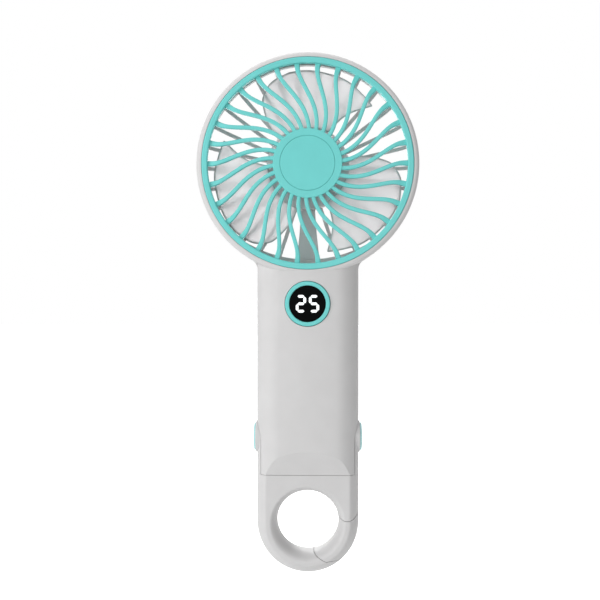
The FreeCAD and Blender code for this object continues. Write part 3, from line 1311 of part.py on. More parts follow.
# ================================================================ build
def build_nodes():
    """Every sub-part under the name of its node."""
    front_shell, rear_shell = make_shells()
    bars = digit_bars()
    return {
        "front_shell": front_shell,
        "rear_shell": rear_shell,
        "shell_screws": make_shell_screws(),
        "front_grille": make_front_grille(),
        "grille_badge": make_grille_badge(),
        "rear_grille": make_rear_grille(),
        "motor_can": make_motor_can(),
        "motor_base": make_motor_base(),
        "motor_magnet": make_motor_magnet(),
        "motor_rotor": make_motor_rotor(),
        "motor_shaft": make_motor_shaft(),
        "front_bearing": make_bearing(front_bearing_y()),
        "rear_bearing": make_bearing(rear_bearing_y()),
        "motor_screws": make_motor_screws(),
        "impeller": make_impeller(),
        "display_ring": make_display_ring(),
        "display_window": make_display_window(bars),
        "display_digits": Part.makeCompound(bars),
        "switch_plunger": make_switch_plunger(),
        "tact_switch": make_tact_switch(),
        "main_board": make_main_board(),
        "board_components": make_board_components(),
        "board_screws": make_board_screws(),
        "usb_socket": make_usb_socket(),
        "battery_cell": make_battery_cell(),
        "battery_tabs": make_battery_tabs(),
        "battery_cradle": make_battery_cradle(casing_cavity()),
        "loop_frame": make_loop_frame(),
        "loop_gate": make_loop_gate(),
        "gate_pin": make_gate_pin(),
        "gate_spring": make_gate_spring(),
        "pivot_pin_left": make_pivot_pin(-1),
        "pivot_pin_right": make_pivot_pin(1),
        "pivot_washer_left": make_pivot_washer(-1),
        "pivot_washer_right": make_pivot_washer(1),
        "pivot_cap_left": make_pivot_cap(-1),
        "pivot_cap_right": make_pivot_cap(1),
    }


def main():
    """Build every sub-part and write it to parts/NODE.step."""
    os.makedirs("parts", exist_ok=True)
    for name, shape in build_nodes().items():
        shape.exportStep("parts/" + name + ".step")
        box_of = shape.BoundBox
        print(name, "solids", len(shape.Solids), "volume %.1f" % shape.Volume, "valid", shape.isValid(),
              "z %.1f..%.1f" % (box_of.ZMin, box_of.ZMax))


main()
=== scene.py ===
"""A hand-held fan with a carabiner loop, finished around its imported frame.

Blender works in metres and every size below is in millimetres.  The axes are the frame's own:
+Z runs up the handle, the front grille faces -Y, and +X is the side of the loop's gate.
"""
import enum
import json
import logging
import math
from collections.abc import Callable, Iterator, Sequence
from contextlib import contextmanager
from dataclasses import dataclass

import bpy
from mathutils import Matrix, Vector


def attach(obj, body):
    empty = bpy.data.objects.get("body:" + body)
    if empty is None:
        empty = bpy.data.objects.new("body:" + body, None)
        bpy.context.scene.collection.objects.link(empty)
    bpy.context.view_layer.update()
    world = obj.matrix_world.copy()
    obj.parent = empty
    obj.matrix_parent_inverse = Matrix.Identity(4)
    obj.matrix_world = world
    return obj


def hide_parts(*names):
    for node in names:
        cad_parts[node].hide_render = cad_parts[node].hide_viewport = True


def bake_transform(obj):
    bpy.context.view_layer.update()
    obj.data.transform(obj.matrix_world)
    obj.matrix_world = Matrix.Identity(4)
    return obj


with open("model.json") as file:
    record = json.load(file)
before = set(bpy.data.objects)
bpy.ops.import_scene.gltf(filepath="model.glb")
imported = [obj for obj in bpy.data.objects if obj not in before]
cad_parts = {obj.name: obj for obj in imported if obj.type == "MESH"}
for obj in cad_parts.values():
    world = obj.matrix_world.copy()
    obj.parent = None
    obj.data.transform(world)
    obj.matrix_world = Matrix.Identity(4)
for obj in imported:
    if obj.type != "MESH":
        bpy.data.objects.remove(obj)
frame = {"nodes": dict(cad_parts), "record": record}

LOG = logging.getLogger("hand_fan")
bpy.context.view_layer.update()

MM = 0.001
HEAD_Z = 144.4
DISPLAY_Z = 88.3
PIVOT_Z = 34.1
FRONT_Y = -11.5
SMOOTH_ANGLE = math.radians(32.0)
BAR_EDGE = 50.0          # degrees; the edges along a bar are sharper than this, its bends are not
MERGE = 0.002            # corners closer than this are one
TURN_SIGN = -1.0         # transform.rotate turns the other way without a window

Material = bpy.types.Material
Piece = bpy.types.Object
Socket = bpy.types.NodeSocket
Point = tuple[float, float, float]
Colour = tuple[float, float, float]
Profile = Sequence[tuple[float, float]]
Outline = Callable[[float, float], tuple[float, float]]


class Axis(enum.Enum):
    """Axis that a turned form is made about."""

    X = (0.0, math.pi / 2, 0.0)
    Y = (math.pi / 2, 0.0, 0.0)
    Z = (0.0, 0.0, 0.0)


class Body(enum.Enum):
    """Moving bodies of the fan."""

    HOUSING = "housing"
    IMPELLER = "impeller"
    BUTTON = "display_button"
    LOOP = "loop"
    GATE = "gate"


# ------------------------------------------------------------------------------------ materials
class NodeSheet:
    """Node tree of one material, with its shader ready."""

    def __init__(self, name: str) -> None:
        """Start a material that has only a shader and its output.

        Args:
            name: Name of the new material.
        """
        self.material = bpy.data.materials.new(name)
        self.material.use_nodes = True
        self.tree = self.material.node_tree
        self.tree.nodes.clear()
        self.shader = self.tree.nodes.new("ShaderNodeBsdfPrincipled")
        output = self.tree.nodes.new("ShaderNodeOutputMaterial")
        self.tree.links.new(self.shader.outputs["BSDF"], output.inputs["Surface"])
        self.place = self.tree.nodes.new("ShaderNodeTexCoord")

    def value(self, socket: str, amount: float | tuple[float, ...]) -> None:
        """Set one of the shader's own sockets."""
        self.shader.inputs[socket].default_value = amount

    def mapped(self, scale: Point) -> Socket:
        """Object coordinates stretched by a scale.

        Args:
            scale: Factor along X, Y and Z.

        Returns:
            The vector socket to feed a texture with.
        """
        mapping = self.tree.nodes.new("ShaderNodeMapping")
        mapping.inputs["Scale"].default_value = scale
        self.tree.links.new(self.place.outputs["Object"], mapping.inputs["Vector"])
        return mapping.outputs["Vector"]

    def noise(self, size: float, detail: float = 3.0,
              stretch: Point = (1.0, 1.0, 1.0)) -> Socket:
        """Noise whose features measure about `size` millimetres.

        Args:
            size: Feature size in millimetres.
            detail: Octaves of the noise.
            stretch: Extra factor along X, Y and Z.

        Returns:
            The noise's value socket.
        """
        texture = self.tree.nodes.new("ShaderNodeTexNoise")
        texture.inputs["Scale"].default_value = 1.0 / (size * MM)
        texture.inputs["Detail"].default_value = detail
        self.tree.links.new(self.mapped(stretch), texture.inputs["Vector"])
        return texture.outputs["Fac"]

    def blend(self, factor: Socket, low: Colour, high: Colour,
              start: float = 0.3, end: float = 0.7) -> Socket:
        """Colour between two tones.

        Args:
            factor: Socket that drives the blend.
            low: Tone at and below `start`.
            high: Tone at and above `end`.
            start: Factor at which the blend begins.
            end: Factor at which it ends.

        Returns:
            The colour socket.
        """
        ramp = self.tree.nodes.new("ShaderNodeValToRGB")
        ramp.color_ramp.elements[0].position = start
        ramp.color_ramp.elements[1].position = end
        ramp.color_ramp.elements[0].color = (*low, 1.0)
        ramp.color_ramp.elements[1].color = (*high, 1.0)
        self.tree.links.new(factor, ramp.inputs["Fac"])
        return ramp.outputs["Color"]

    def spread(self, factor: Socket, low: float, high: float) -> Socket:
        """Number between two limits.

        Args:
            factor: Socket from 0 to 1.
            low: Result at 0.
            high: Result at 1.

        Returns:
            The number's socket.
        """
        node = self.tree.nodes.new("ShaderNodeMapRange")
        node.inputs["To Min"].default_value = low
        node.inputs["To Max"].default_value = high
        self.tree.links.new(factor, node.inputs["Value"])
        return node.outputs["Result"]

    def bump(self, height: Socket, depth: float) -> None:
        """Give the shader a relief of `depth` millimetres."""
        node = self.tree.nodes.new("ShaderNodeBump")
        node.inputs["Distance"].default_value = depth * MM
        self.tree.links.new(height, node.inputs["Height"])
        self.tree.links.new(node.outputs["Normal"], self.shader.inputs["Normal"])

    def link(self, source: Socket, socket: str) -> None:
        """Feed one of the shader's sockets."""
        self.tree.links.new(source, self.shader.inputs[socket])


@dataclass(frozen=True)
class Moulding:
    """Moulded plastic with a fine spark-eroded grain."""

    name: str
    colour: Colour
    roughness: float = 0.5
    mottle: float = 0.02
    grain: float = 0.22
    relief: float = 0.006
    specular: float = 0.4
    coat: float = 0.0
    coat_roughness: float = 0.15
    transmission: float = 0.0
    mottle_size: float = 9.0
    patch_size: float = 2.6
    patch_swing: float = 0.05

    def build(self) -> Material:
        """Make the material."""
        sheet = NodeSheet(self.name)
        low = tuple(channel * (1.0 - self.mottle) for channel in self.colour)
        high = tuple(min(1.0, channel * (1.0 + self.mottle)) for channel in self.colour)
        sheet.link(sheet.blend(sheet.noise(self.mottle_size), low, high), "Base Color")
        sheet.link(sheet.spread(sheet.noise(self.patch_size, 4.0), self.roughness - self.patch_swing,
                                self.roughness + self.patch_swing), "Roughness")
        sheet.bump(sheet.noise(self.grain, 2.0), self.relief)
        sheet.value("Specular IOR Level", self.specular)
        sheet.value("Coat Weight", self.coat)
        sheet.value("Coat Roughness", self.coat_roughness)
        sheet.value("Transmission Weight", self.transmission)
        return sheet.material


@dataclass(frozen=True)
class Metal:
    """Drawn, ground or plated metal with fine lines along one axis."""

    name: str
    colour: Colour
    roughness: float = 0.3
    lines: Axis = Axis.Y
    relief: float = 0.002
    draw: float = 0.04
    line_size: float = 0.35
    dark_share: float = 0.88
    swing: tuple[float, float] = (-0.08, 0.1)

    def build(self) -> Material:
        """Make the material."""
        sheet = NodeSheet(self.name)
        stretch = {Axis.X: (self.draw, 1.0, 1.0), Axis.Y: (1.0, self.draw, 1.0),
                   Axis.Z: (1.0, 1.0, self.draw)}
        streaks = sheet.noise(self.line_size, 5.0, stretch[self.lines])
        dark = tuple(channel * self.dark_share for channel in self.colour)
        low, high = self.swing
        sheet.link(sheet.blend(streaks, dark, self.colour), "Base Color")
        sheet.link(sheet.spread(streaks, self.roughness + low, self.roughness + high), "Roughness")
        sheet.bump(streaks, self.relief)
        sheet.value("Metallic", 1.0)
        return sheet.material


@dataclass(frozen=True)
class Lamp:
    """Light segment behind a smoked window."""

    name: str
    colour: Colour
    strength: float
    dim_share: float = 0.94
    cloud_size: float = 1.5
    roughness: float = 0.4

    def build(self) -> Material:
        """Make the material."""
        sheet = NodeSheet(self.name)
        dim = tuple(channel * self.dim_share for channel in self.colour)
        sheet.link(sheet.blend(sheet.noise(self.cloud_size), dim, self.colour), "Base Color")
        sheet.value("Roughness", self.roughness)
        sheet.value("Emission Color", (*self.colour, 1.0))
        sheet.value("Emission Strength", self.strength)
        return sheet.material


@dataclass(frozen=True)
class Windings:
    """Rotor core with lacquered copper wound round its arms."""

    name: str
    copper: Colour
    core: Colour
    bands: float = 900.0
    roughness: tuple[float, float] = (0.5, 0.25)
    relief: float = 0.08
    metallic: float = 0.8

    def build(self) -> Material:
        """Make the material."""
        sheet = NodeSheet(self.name)
        wave = sheet.tree.nodes.new("ShaderNodeTexWave")
        wave.bands_direction = "Y"
        wave.inputs["Scale"].default_value = self.bands
        sheet.tree.links.new(sheet.mapped((1.0, 1.0, 1.0)), wave.inputs["Vector"])
        sheet.link(sheet.blend(wave.outputs["Fac"], self.core, self.copper), "Base Color")
        sheet.link(sheet.spread(wave.outputs["Fac"], *self.roughness), "Roughness")
        sheet.bump(wave.outputs["Fac"], self.relief)
        sheet.value("Metallic", self.metallic)
        return sheet.material


@dataclass(frozen=True)
class CircuitBoard:
    """Solder resist over copper tracks."""

    name: str
    resist: Colour
    track: Colour
    cell_scale: float = 420.0
    flatten: Point = (1.0, 0.01, 1.0)
    track_edge: tuple[float, float] = (0.06, 0.12)
    roughness: float = 0.25
    specular: float = 0.6
    ripple_size: float = 0.6
    relief: float = 0.01

    def build(self) -> Material:
        """Make the material."""
        sheet = NodeSheet(self.name)
        cells = sheet.tree.nodes.new("ShaderNodeTexVoronoi")
        cells.feature = "DISTANCE_TO_EDGE"
        cells.inputs["Scale"].default_value = self.cell_scale
        sheet.tree.links.new(sheet.mapped(self.flatten), cells.inputs["Vector"])
        sheet.link(sheet.blend(cells.outputs["Distance"], self.track, self.resist, *self.track_edge),
                   "Base Color")
        sheet.value("Roughness", self.roughness)
        sheet.value("Specular IOR Level", self.specular)
        sheet.bump(sheet.noise(self.ripple_size), self.relief)
        return sheet.material


class Finishes:
    """All finishes of the fan, keyed by the record's material slots."""

    def __init__(self) -> None:
        """Make every material once."""
        body = (0.617, 0.612, 0.612)
        steel = (0.62, 0.62, 0.61)
        self.by_slot: dict[str, Material] = {
            "casing": Moulding("Casing_Satin_Grey", body, 0.52, specular=0.2).build(),
            "teal": Moulding("Grille_Teal", (0.1465, 0.604, 0.582), 0.45).build(),
            "pale_teal": Moulding("Cap_Pale_Teal", (0.42, 0.72, 0.73), 0.4).build(),
            # Guard grey is the rear grille's own colour; on the blades' edge tubes it is painted shade.
            "guard_grey": Moulding("Guard_Grey", (0.56, 0.56, 0.56), 0.5).build(),
            "blade_grey": Moulding("Blade_Frosted", (0.875, 0.83, 0.838), 0.85, specular=0.2,
                                   transmission=0.42).build(),
            "window_black": Moulding("Window_Smoked", (0.0012, 0.0016, 0.0016), 0.3, relief=0.0005,
                                     specular=0.02).build(),
            "digit_white": Lamp("Digit_White", (0.90, 0.94, 0.94), 0.45).build(),
            "motor_steel": Metal("Motor_Plated_Steel", steel, 0.32).build(),
            "magnet": Moulding("Magnet_Sintered", (0.06, 0.06, 0.065), 0.6, mottle=0.15,
                               grain=0.5, relief=0.02).build(),
            "bush_brass": Metal("Bush_Sintered_Brass", (0.72, 0.53, 0.24), 0.4).build(),
            "rotor": Windings("Rotor_Windings", (0.62, 0.26, 0.09), (0.20, 0.20, 0.21)).build(),
            "black_plastic": Moulding("Switch_Black", (0.02, 0.02, 0.021), 0.5).build(),
            "board_green": CircuitBoard("Board_Green", (0.02, 0.17, 0.06), (0.05, 0.32, 0.13)).build(),
            "cell_wrap": Moulding("Cell_Wrap", (0.05, 0.16, 0.42), 0.3, grain=1.6,
                                  relief=0.01, coat=0.3).build(),
            "nickel": Metal("Tab_Nickel", (0.70, 0.67, 0.61), 0.28, Axis.X).build(),
            "pin_steel": Metal("Pin_Ground_Steel", (0.60, 0.60, 0.60), 0.22, Axis.X).build(),
            "screw_steel": Metal("Screw_Zinc", (0.50, 0.50, 0.50), 0.35).build(),
            "washer": Moulding("Washer_Acetal", (0.80, 0.80, 0.77), 0.35).build(),
            "spring_steel": Metal("Spring_Drawn_Steel", (0.52, 0.52, 0.52), 0.3).build(),
        }

    def dress(self, piece: Piece, slot: str) -> None:
        """Give a piece the finish of one slot.

        Args:
            piece: Object to dress.
            slot: Name of the material slot.
        """
        piece.data.materials.clear()
        piece.data.materials.append(self.by_slot[slot])


# ------------------------------------------------------------------------------------ modelling
class Bench:
    """Operator modelling in which every selection is made in code."""

    @staticmethod
    def take(*pieces: Piece) -> None:
        """Select these pieces only, the first of them active."""
        bpy.ops.object.select_all(action="DESELECT")
        for piece in pieces:
            piece.select_set(True)
        bpy.context.view_layer.objects.active = pieces[0]

    @staticmethod
    @contextmanager
    def edit(piece: Piece) -> Iterator[None]:
        """Edit mode on one piece, with everything in it selected."""
        Bench.take(piece)
        bpy.ops.object.mode_set(mode="EDIT")
        bpy.ops.mesh.select_all(action="SELECT")
        yield
        bpy.ops.object.mode_set(mode="OBJECT")

    @staticmethod
    def start(name: str) -> Piece:
        """Name the primitive just added and put its place into its mesh.

        Args:
            name: Name of the new piece.

        Returns:
            The piece.
        """
        piece = bpy.context.object
        piece.name = name
        Bench.take(piece)
        bpy.ops.object.transform_apply(location=True, rotation=True, scale=True)
        return piece

    @staticmethod
    def pull(step: Vector, scale: float = 1.0, centre: Vector | None = None) -> None:
        """Extrude the selection, then scale its new end.

        Args:
            step: Move in metres.
            scale: Factor of the new end.
            centre: Point that the new end is scaled about.
        """
        bpy.ops.mesh.extrude_region_move(TRANSFORM_OT_translate={"value": tuple(step)})
        if centre is not None:
            bpy.ops.transform.resize(value=(scale, scale, scale), center_override=tuple(centre))

    @staticmethod
    def round_edges(piece: Piece, width: float, segments: int = 3,
                    angle: float = 30.0) -> None:
        """Round every edge sharper than an angle.

        Args:
            piece: Object to round.
            width: Width of the rounding in millimetres.
            segments: Faces across the rounding.
            angle: Smallest turn, in degrees, that is rounded.
        """
        Bench.take(piece)
        bevel = piece.modifiers.new("Round", "BEVEL")
        bevel.width = width * MM
        bevel.segments = segments
        bevel.limit_method = "ANGLE"
        bevel.angle_limit = math.radians(angle)
        bpy.ops.object.modifier_apply(modifier=bevel.name)

    @staticmethod
    def clean(piece: Piece) -> None:
        """Merge doubles, turn the faces outwards and shade the curved ones smooth."""
        with Bench.edit(piece):
            bpy.ops.mesh.remove_doubles(threshold=MERGE * MM)
            bpy.ops.mesh.normals_make_consistent(inside=False)
        bpy.ops.object.shade_smooth_by_angle(angle=SMOOTH_ANGLE)

    @staticmethod
    def soften(piece: Piece, width: float, segments: int = 3,
               angle: float = 30.0) -> Piece:
        """Round a piece's edges, as round_edges does, clean it and hand it back."""
        Bench.round_edges(piece, width, segments, angle)
        Bench.clean(piece)
        return piece

    @staticmethod
    def repeat(piece: Piece, count: int, centre: Vector) -> None:
        """Copy what the piece holds evenly round an axis along Y, then clean it.

        Args:
            piece: Object whose mesh is repeated.
            count: How many there are in the end.
            centre: Point on the axis.
        """
        with Bench.edit(piece):
            bpy.ops.mesh.spin(steps=count - 1, dupli=True, angle=2 * math.pi * (count - 1) / count,
                              center=tuple(centre), axis=(0.0, 1.0, 0.0))
        Bench.clean(piece)

    @staticmethod
    def copy_to(piece: Piece, step: Vector) -> Piece:
        """Copy a piece, with its own mesh, a step away.

        Args:
            piece: Object to copy.
            step: Move in metres.

        Returns:
            The copy.
        """
        Bench.take(piece)
        bpy.ops.object.duplicate()
        copy = bpy.context.object
        with Bench.edit(copy):
            bpy.ops.transform.translate(value=tuple(step))
        return copy

    @staticmethod
    def combine(piece: Piece, tool: Piece, operation: str) -> None:
        """Cut a piece with a closed tool, or keep only what lies in it.

        Args:
            piece: Object that is changed.
            tool: Closed form.
            operation: DIFFERENCE or INTERSECT.
        """
        Bench.take(piece)
        cut = piece.modifiers.new("Cut", "BOOLEAN")
        cut.operation = operation
        cut.solver = "EXACT"
        cut.object = tool
        bpy.ops.object.modifier_apply(modifier=cut.name)

    @staticmethod
    def join(name: str, pieces: Sequence[Piece]) -> Piece:
        """Join pieces into the first of them.

        Args:
            name: Name of the result.
            pieces: Pieces to join.

        Returns:
            The joined piece.
        """
        Bench.take(*pieces)
        bpy.ops.object.join()
        pieces[0].name = name
        return pieces[0]


@dataclass(frozen=True)
class Lathe:
    """Turned forms about one axis."""

    axis: Axis
    centre: Point
    sides: int = 128

    def at(self, along: float) -> Vector:
        """Point on the axis, in metres, at a coordinate along it in millimetres."""
        point = Vector(self.centre)
        point[[Axis.X, Axis.Y, Axis.Z].index(self.axis)] = along
        return point * MM

    def turn(self, name: str, profile: Profile, closed: bool = False) -> Piece:
        """Turn a profile.

        Args:
            name: Name of the new piece.
            profile: Radius and place along the axis of each corner.
            closed: Whether the profile returns to its first corner, as a ring's does.

        Returns:
            The turned piece.
        """
        radius, along = profile[0]
        bpy.ops.object.select_all(action="DESELECT")
        bpy.ops.mesh.primitive_circle_add(vertices=self.sides, radius=radius * MM, location=self.at(along),
                                          rotation=self.axis.value,
                                          fill_type="NOTHING" if closed else "NGON")
        piece = Bench.start(name)
        corners = list(profile) + ([profile[0]] if closed else [])
        with Bench.edit(piece):
            for before, after in zip(corners, corners[1:]):
                Bench.pull(self.at(after[1]) - self.at(before[1]), after[0] / before[0], self.at(after[1]))
        Bench.clean(piece)
        return piece


def polar(radius: float, clock: float, y: float) -> Vector:
    """Point about the head's axis, in metres.

    Args:
        radius: Distance from the axis in millimetres.
        clock: Degrees clockwise from the top, seen from the front.
        y: Place along the axis in millimetres.

    Returns:
        The point.
    """
    angle = math.radians(clock)
    return Vector((radius * math.sin(angle), y, HEAD_Z + radius * math.cos(angle))) * MM


def settle(piece: Piece, body: Body, slot: str, finishes: Finishes,
           replaced: Sequence[str] = ()) -> None:
    """Dress a finished piece and let it ride on its body.

    Args:
        piece: The finished piece.
        body: Body that carries it.
        slot: Material slot that it takes its finish from.
        finishes: The fan's finishes.
        replaced: Nodes of the frame that it stands for.
    """
    finishes.dress(piece, slot)
    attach(piece, body.value)
    if replaced:
        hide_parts(*replaced)
    LOG.info("%s on %s, %d faces", piece.name, body.value, len(piece.data.polygons))


HEAD = Lathe(Axis.Y, (0.0, 0.0, HEAD_Z))
HEAD_CENTRE = Vector((0.0, 0.0, HEAD_Z)) * MM


# ------------------------------------------------------------------------------------ air side
@dataclass
class FrontGrille:
    """Ring, S-shaped ribs, centre plate and blank disc."""

    front: float = -11.7
    ring_outer: float = 42.4
    ring_inner: float = 40.0
    ring_depth: float = 2.8
    rib_count: int = 30
    rib_start: float = -6.05
    rib_sweep: float = 21.0
    rib_straight: float = 1.7
    run_on: float = 2.85
    rib_width: float = 1.6
    foot_width: float = 2.15
    rib_depth: float = 2.0
    foot_length: float = 6.0
    foot_drop: float = 1.3
    set_back: float = 0.25
    plate_radius: float = 13.85
    plate_depth: float = 2.4
    badge_radius: float = 10.95
    badge_depth: float = 1.2
    bore: float = 2.0
    badge_gap: float = 0.05
    sink: float = 0.6
    rib_round: float = 0.42
    ring_round: float = 0.45
    plate_round: float = 0.22
    steps: int = 24

    def build(self, finishes: Finishes) -> None:
        """Model and dress the whole grille.

        Args:
            finishes: The fan's finishes.
        """
        rib = self.rib()
        Bench.repeat(rib, self.rib_count, HEAD_CENTRE)
        settle(rib, Body.HOUSING, "teal", finishes, ["front_grille"])
        settle(self.ring(), Body.HOUSING, "teal", finishes)
        settle(self.plate(), Body.HOUSING, "teal", finishes)
        settle(self.badge(), Body.HOUSING, "teal", finishes, ["grille_badge"])

    def path(self, share: float) -> Vector:
        """Middle of a rib's front; share runs from 0 at the ring to 1 at the plate."""
        radius = (self.ring_inner + self.sink
                  - share * (self.ring_inner - self.plate_radius + 2 * self.sink))
        start = self.ring_inner - self.rib_straight
        turned = max(0.0, (start - radius) / (start - self.plate_radius + self.run_on))
        clock = self.rib_start + self.rib_sweep * turned * turned * (3.0 - 2.0 * turned)
        drop = self.foot_drop * self.foot_share(share)
        return polar(radius, clock, self.front + self.set_back + drop + self.rib_depth / 2)

    def foot_share(self, share: float) -> float:
        """How much of the foot's flare applies, from 1 at the ring to 0."""
        linear = max(0.0, 1.0 - share * (self.ring_inner - self.plate_radius) / self.foot_length)
        return linear * linear * (3.0 - 2.0 * linear)

    def scale(self, share: float) -> float:
        """Size of a rib's section over its size away from the foot."""
        return 1.0 + (self.foot_width / self.rib_width - 1.0) * self.foot_share(share)

    def heading(self, share: float) -> float:
        """Angle of the rib's course about Y."""
        step = 0.01
        ahead = self.path(min(1.0, share + step)) - self.path(max(0.0, share - step))
        return math.atan2(ahead.x, ahead.z)

    def rib(self) -> Piece:
        """One rib, drawn from the ring to the plate."""
        bpy.ops.object.select_all(action="DESELECT")
        bpy.ops.mesh.primitive_plane_add(size=1.0, location=self.path(0.0))
        section = bpy.context.object
        section.scale = (self.foot_width * MM, self.rib_depth * self.scale(0.0) * MM, 1.0)
        section.rotation_euler = (0.0, self.heading(0.0), 0.0)
        rib = Bench.start("Front_Ribs")
        with Bench.edit(rib):
            for index in range(self.steps):
                before, after = index / self.steps, (index + 1) / self.steps
                place = self.path(after)
                Bench.pull(place - self.path(before), self.scale(after) / self.scale(before), place)
                turn = self.heading(after) - self.heading(before)
                bpy.ops.transform.rotate(value=TURN_SIGN * turn, orient_axis="Y",
                                         center_override=tuple(place))
        Bench.clean(rib)
        Bench.round_edges(rib, self.rib_round, 3, BAR_EDGE)
        return rib

    def ring(self) -> Piece:
        """Outer ring with a softly rounded front."""
        back = self.front + self.ring_depth
        ring = HEAD.turn("Front_Ring", [(self.ring_outer, self.front), (self.ring_outer, back),
                                        (self.ring_inner, back), (self.ring_inner, self.front)], True)
        return Bench.soften(ring, self.ring_round)

    def plate(self) -> Piece:
        """Centre plate with the recess of the blank disc."""
        recess = self.badge_radius + self.badge_gap
        floor = self.front + self.badge_depth
        back = self.front + self.plate_depth
        plate = HEAD.turn("Front_Plate", [(self.plate_radius, self.front), (self.plate_radius, back),
                                          (self.bore, back), (self.bore, floor), (recess, floor),
                                          (recess, self.front)], True)
        return Bench.soften(plate, self.plate_round)

    def badge(self) -> Piece:
        """Blank disc let into the plate."""
        badge = HEAD.turn("Front_Badge", [(self.badge_radius, self.front),
                                          (self.badge_radius, self.front + self.badge_depth)])
        return Bench.soften(badge, self.plate_round)


@dataclass
class RearGrille:
    """Rim, straight ribs, motor seat and the arm to the neck."""

    rim_outer: float = 42.8
    rim_width: float = 0.6
    rim_back: float = 3.0
    rim_depth: float = 2.4
    rib_count: int = 30
    rib_start: float = -6.05
    rib_width: float = 1.5
    rib_depth: float = 1.8
    seat_radius: float = 16.0
    seat_wall: float = 1.6
    seat_floor: float = 9.5
    seat_bore: float = 0.6
    bar_round: float = 0.4
    rim_round: float = 0.25
    seat_round: float = 0.5
    arm_foot: float = 15.4
    arm_widths: tuple[float, float] = (5.6, 8.6)
    arm_depth: float = 3.4
    saddle_top: float = 106.7
    saddle_radius: float = 50.0
    saddle_length: float = 60.0
    dome: tuple[tuple[float, float], ...] = ((42.3, 12.4), (39.9, 14.4), (36.3, 15.4), (24.0, 16.9),
                                             (15.2, 17.6))

    def build(self, finishes: Finishes) -> None:
        """Model and dress the whole guard.

        Args:
            finishes: The fan's finishes.
        """
        ribs = self.rib()
        Bench.repeat(ribs, self.rib_count, HEAD_CENTRE)
        rim = self.rim()
        self.clear_saddle(ribs, rim)
        settle(ribs, Body.HOUSING, "guard_grey", finishes, ["rear_grille"])
        settle(rim, Body.HOUSING, "guard_grey", finishes)
        settle(self.seat(), Body.HOUSING, "guard_grey", finishes)
        settle(self.arm(), Body.HOUSING, "guard_grey", finishes)

    def bar(self, name: str, courses: Profile, widths: Sequence[float],
            depth: float, up: float) -> Piece:
        """Bar that follows the dome, drawn outwards along Z.

        Args:
            name: Name of the new piece.
            courses: Radius and depth of its front at each step.
            widths: Width at each step.
            depth: Thickness along Y.
            up: 1 to run upwards from the axis, -1 to run down.

        Returns:
            The bar.
        """
        def place(course: tuple[float, float]) -> Vector:
            """Middle of the bar's section."""
            return Vector((0.0, FRONT_Y + course[1] + depth / 2, HEAD_Z + up * course[0])) * MM

        bpy.ops.object.select_all(action="DESELECT")
        bpy.ops.mesh.primitive_plane_add(size=1.0, location=place(courses[0]))
        bpy.context.object.scale = (widths[0] * MM, depth * MM, 1.0)
        bar = Bench.start(name)
        with Bench.edit(bar):
            for index in range(1, len(courses)):
                Bench.pull(place(courses[index]) - place(courses[index - 1]))
                bpy.ops.transform.resize(value=(widths[index] / widths[index - 1], 1.0, 1.0),
                                         center_override=tuple(place(courses[index])))
        Bench.clean(bar)
        Bench.round_edges(bar, self.bar_round, 3, BAR_EDGE)
        return bar

    def rib(self) -> Piece:
        """One straight rib, turned to its place."""
        courses = list(reversed(self.dome))
        rib = self.bar("Rear_Ribs", courses, [self.rib_width] * len(courses), self.rib_depth, 1.0)
        with Bench.edit(rib):
            bpy.ops.transform.rotate(value=TURN_SIGN * math.radians(self.rib_start), orient_axis="Y",
                                     center_override=tuple(HEAD_CENTRE))
        return rib

    def rim(self) -> Piece:
        """Outer ring, cut away where the neck's saddle takes its place."""
        inner = self.rim_outer - self.rim_width
        front = self.rim_back - self.rim_depth
        rim = HEAD.turn("Rear_Rim", [(self.rim_outer, front), (self.rim_outer, self.rim_back),
                                     (inner, self.rim_back), (inner, front)], True)
        return Bench.soften(rim, self.rim_round)

    def clear_saddle(self, *pieces: Piece) -> None:
        """Cut pieces off along the long arc of the neck's saddle."""
        bpy.ops.object.select_all(action="DESELECT")
        middle = Vector((0.0, 0.0, self.saddle_top + self.saddle_radius)) * MM
        bpy.ops.mesh.primitive_cylinder_add(vertices=2 * HEAD.sides, radius=self.saddle_radius * MM,
                                            depth=self.saddle_length * MM, location=middle,
                                            rotation=Axis.Y.value)
        inside = Bench.start("Saddle_Cut")
        for piece in pieces:
            Bench.combine(piece, inside, "INTERSECT")
        bpy.data.objects.remove(inside)

    def seat(self) -> Piece:
        """Cup that carries the motor."""
        back = self.seat_floor + self.seat_wall
        front = FRONT_Y + self.dome[-1][1]
        inner = self.seat_radius - self.seat_wall
        seat = HEAD.turn("Motor_Seat", [(inner, front), (self.seat_radius, front), (self.seat_radius, back),
                                        (self.seat_bore, back), (self.seat_bore, self.seat_floor),
                                        (inner, self.seat_floor)], True)
        return Bench.soften(seat, self.seat_round)

    def arm(self) -> Piece:
        """Wide arm from the seat down to the neck."""
        low = HEAD_Z - self.saddle_top
        courses = [course for course in reversed(self.dome) if course[0] < low]
        courses.append((low, self.arm_foot))
        top, bottom = self.arm_widths
        span = courses[-1][0] - courses[0][0]
        widths = [top + (bottom - top) * (course[0] - courses[0][0]) / span for course in courses]
        return self.bar("Rear_Arm", courses, widths, self.arm_depth, -1.0)


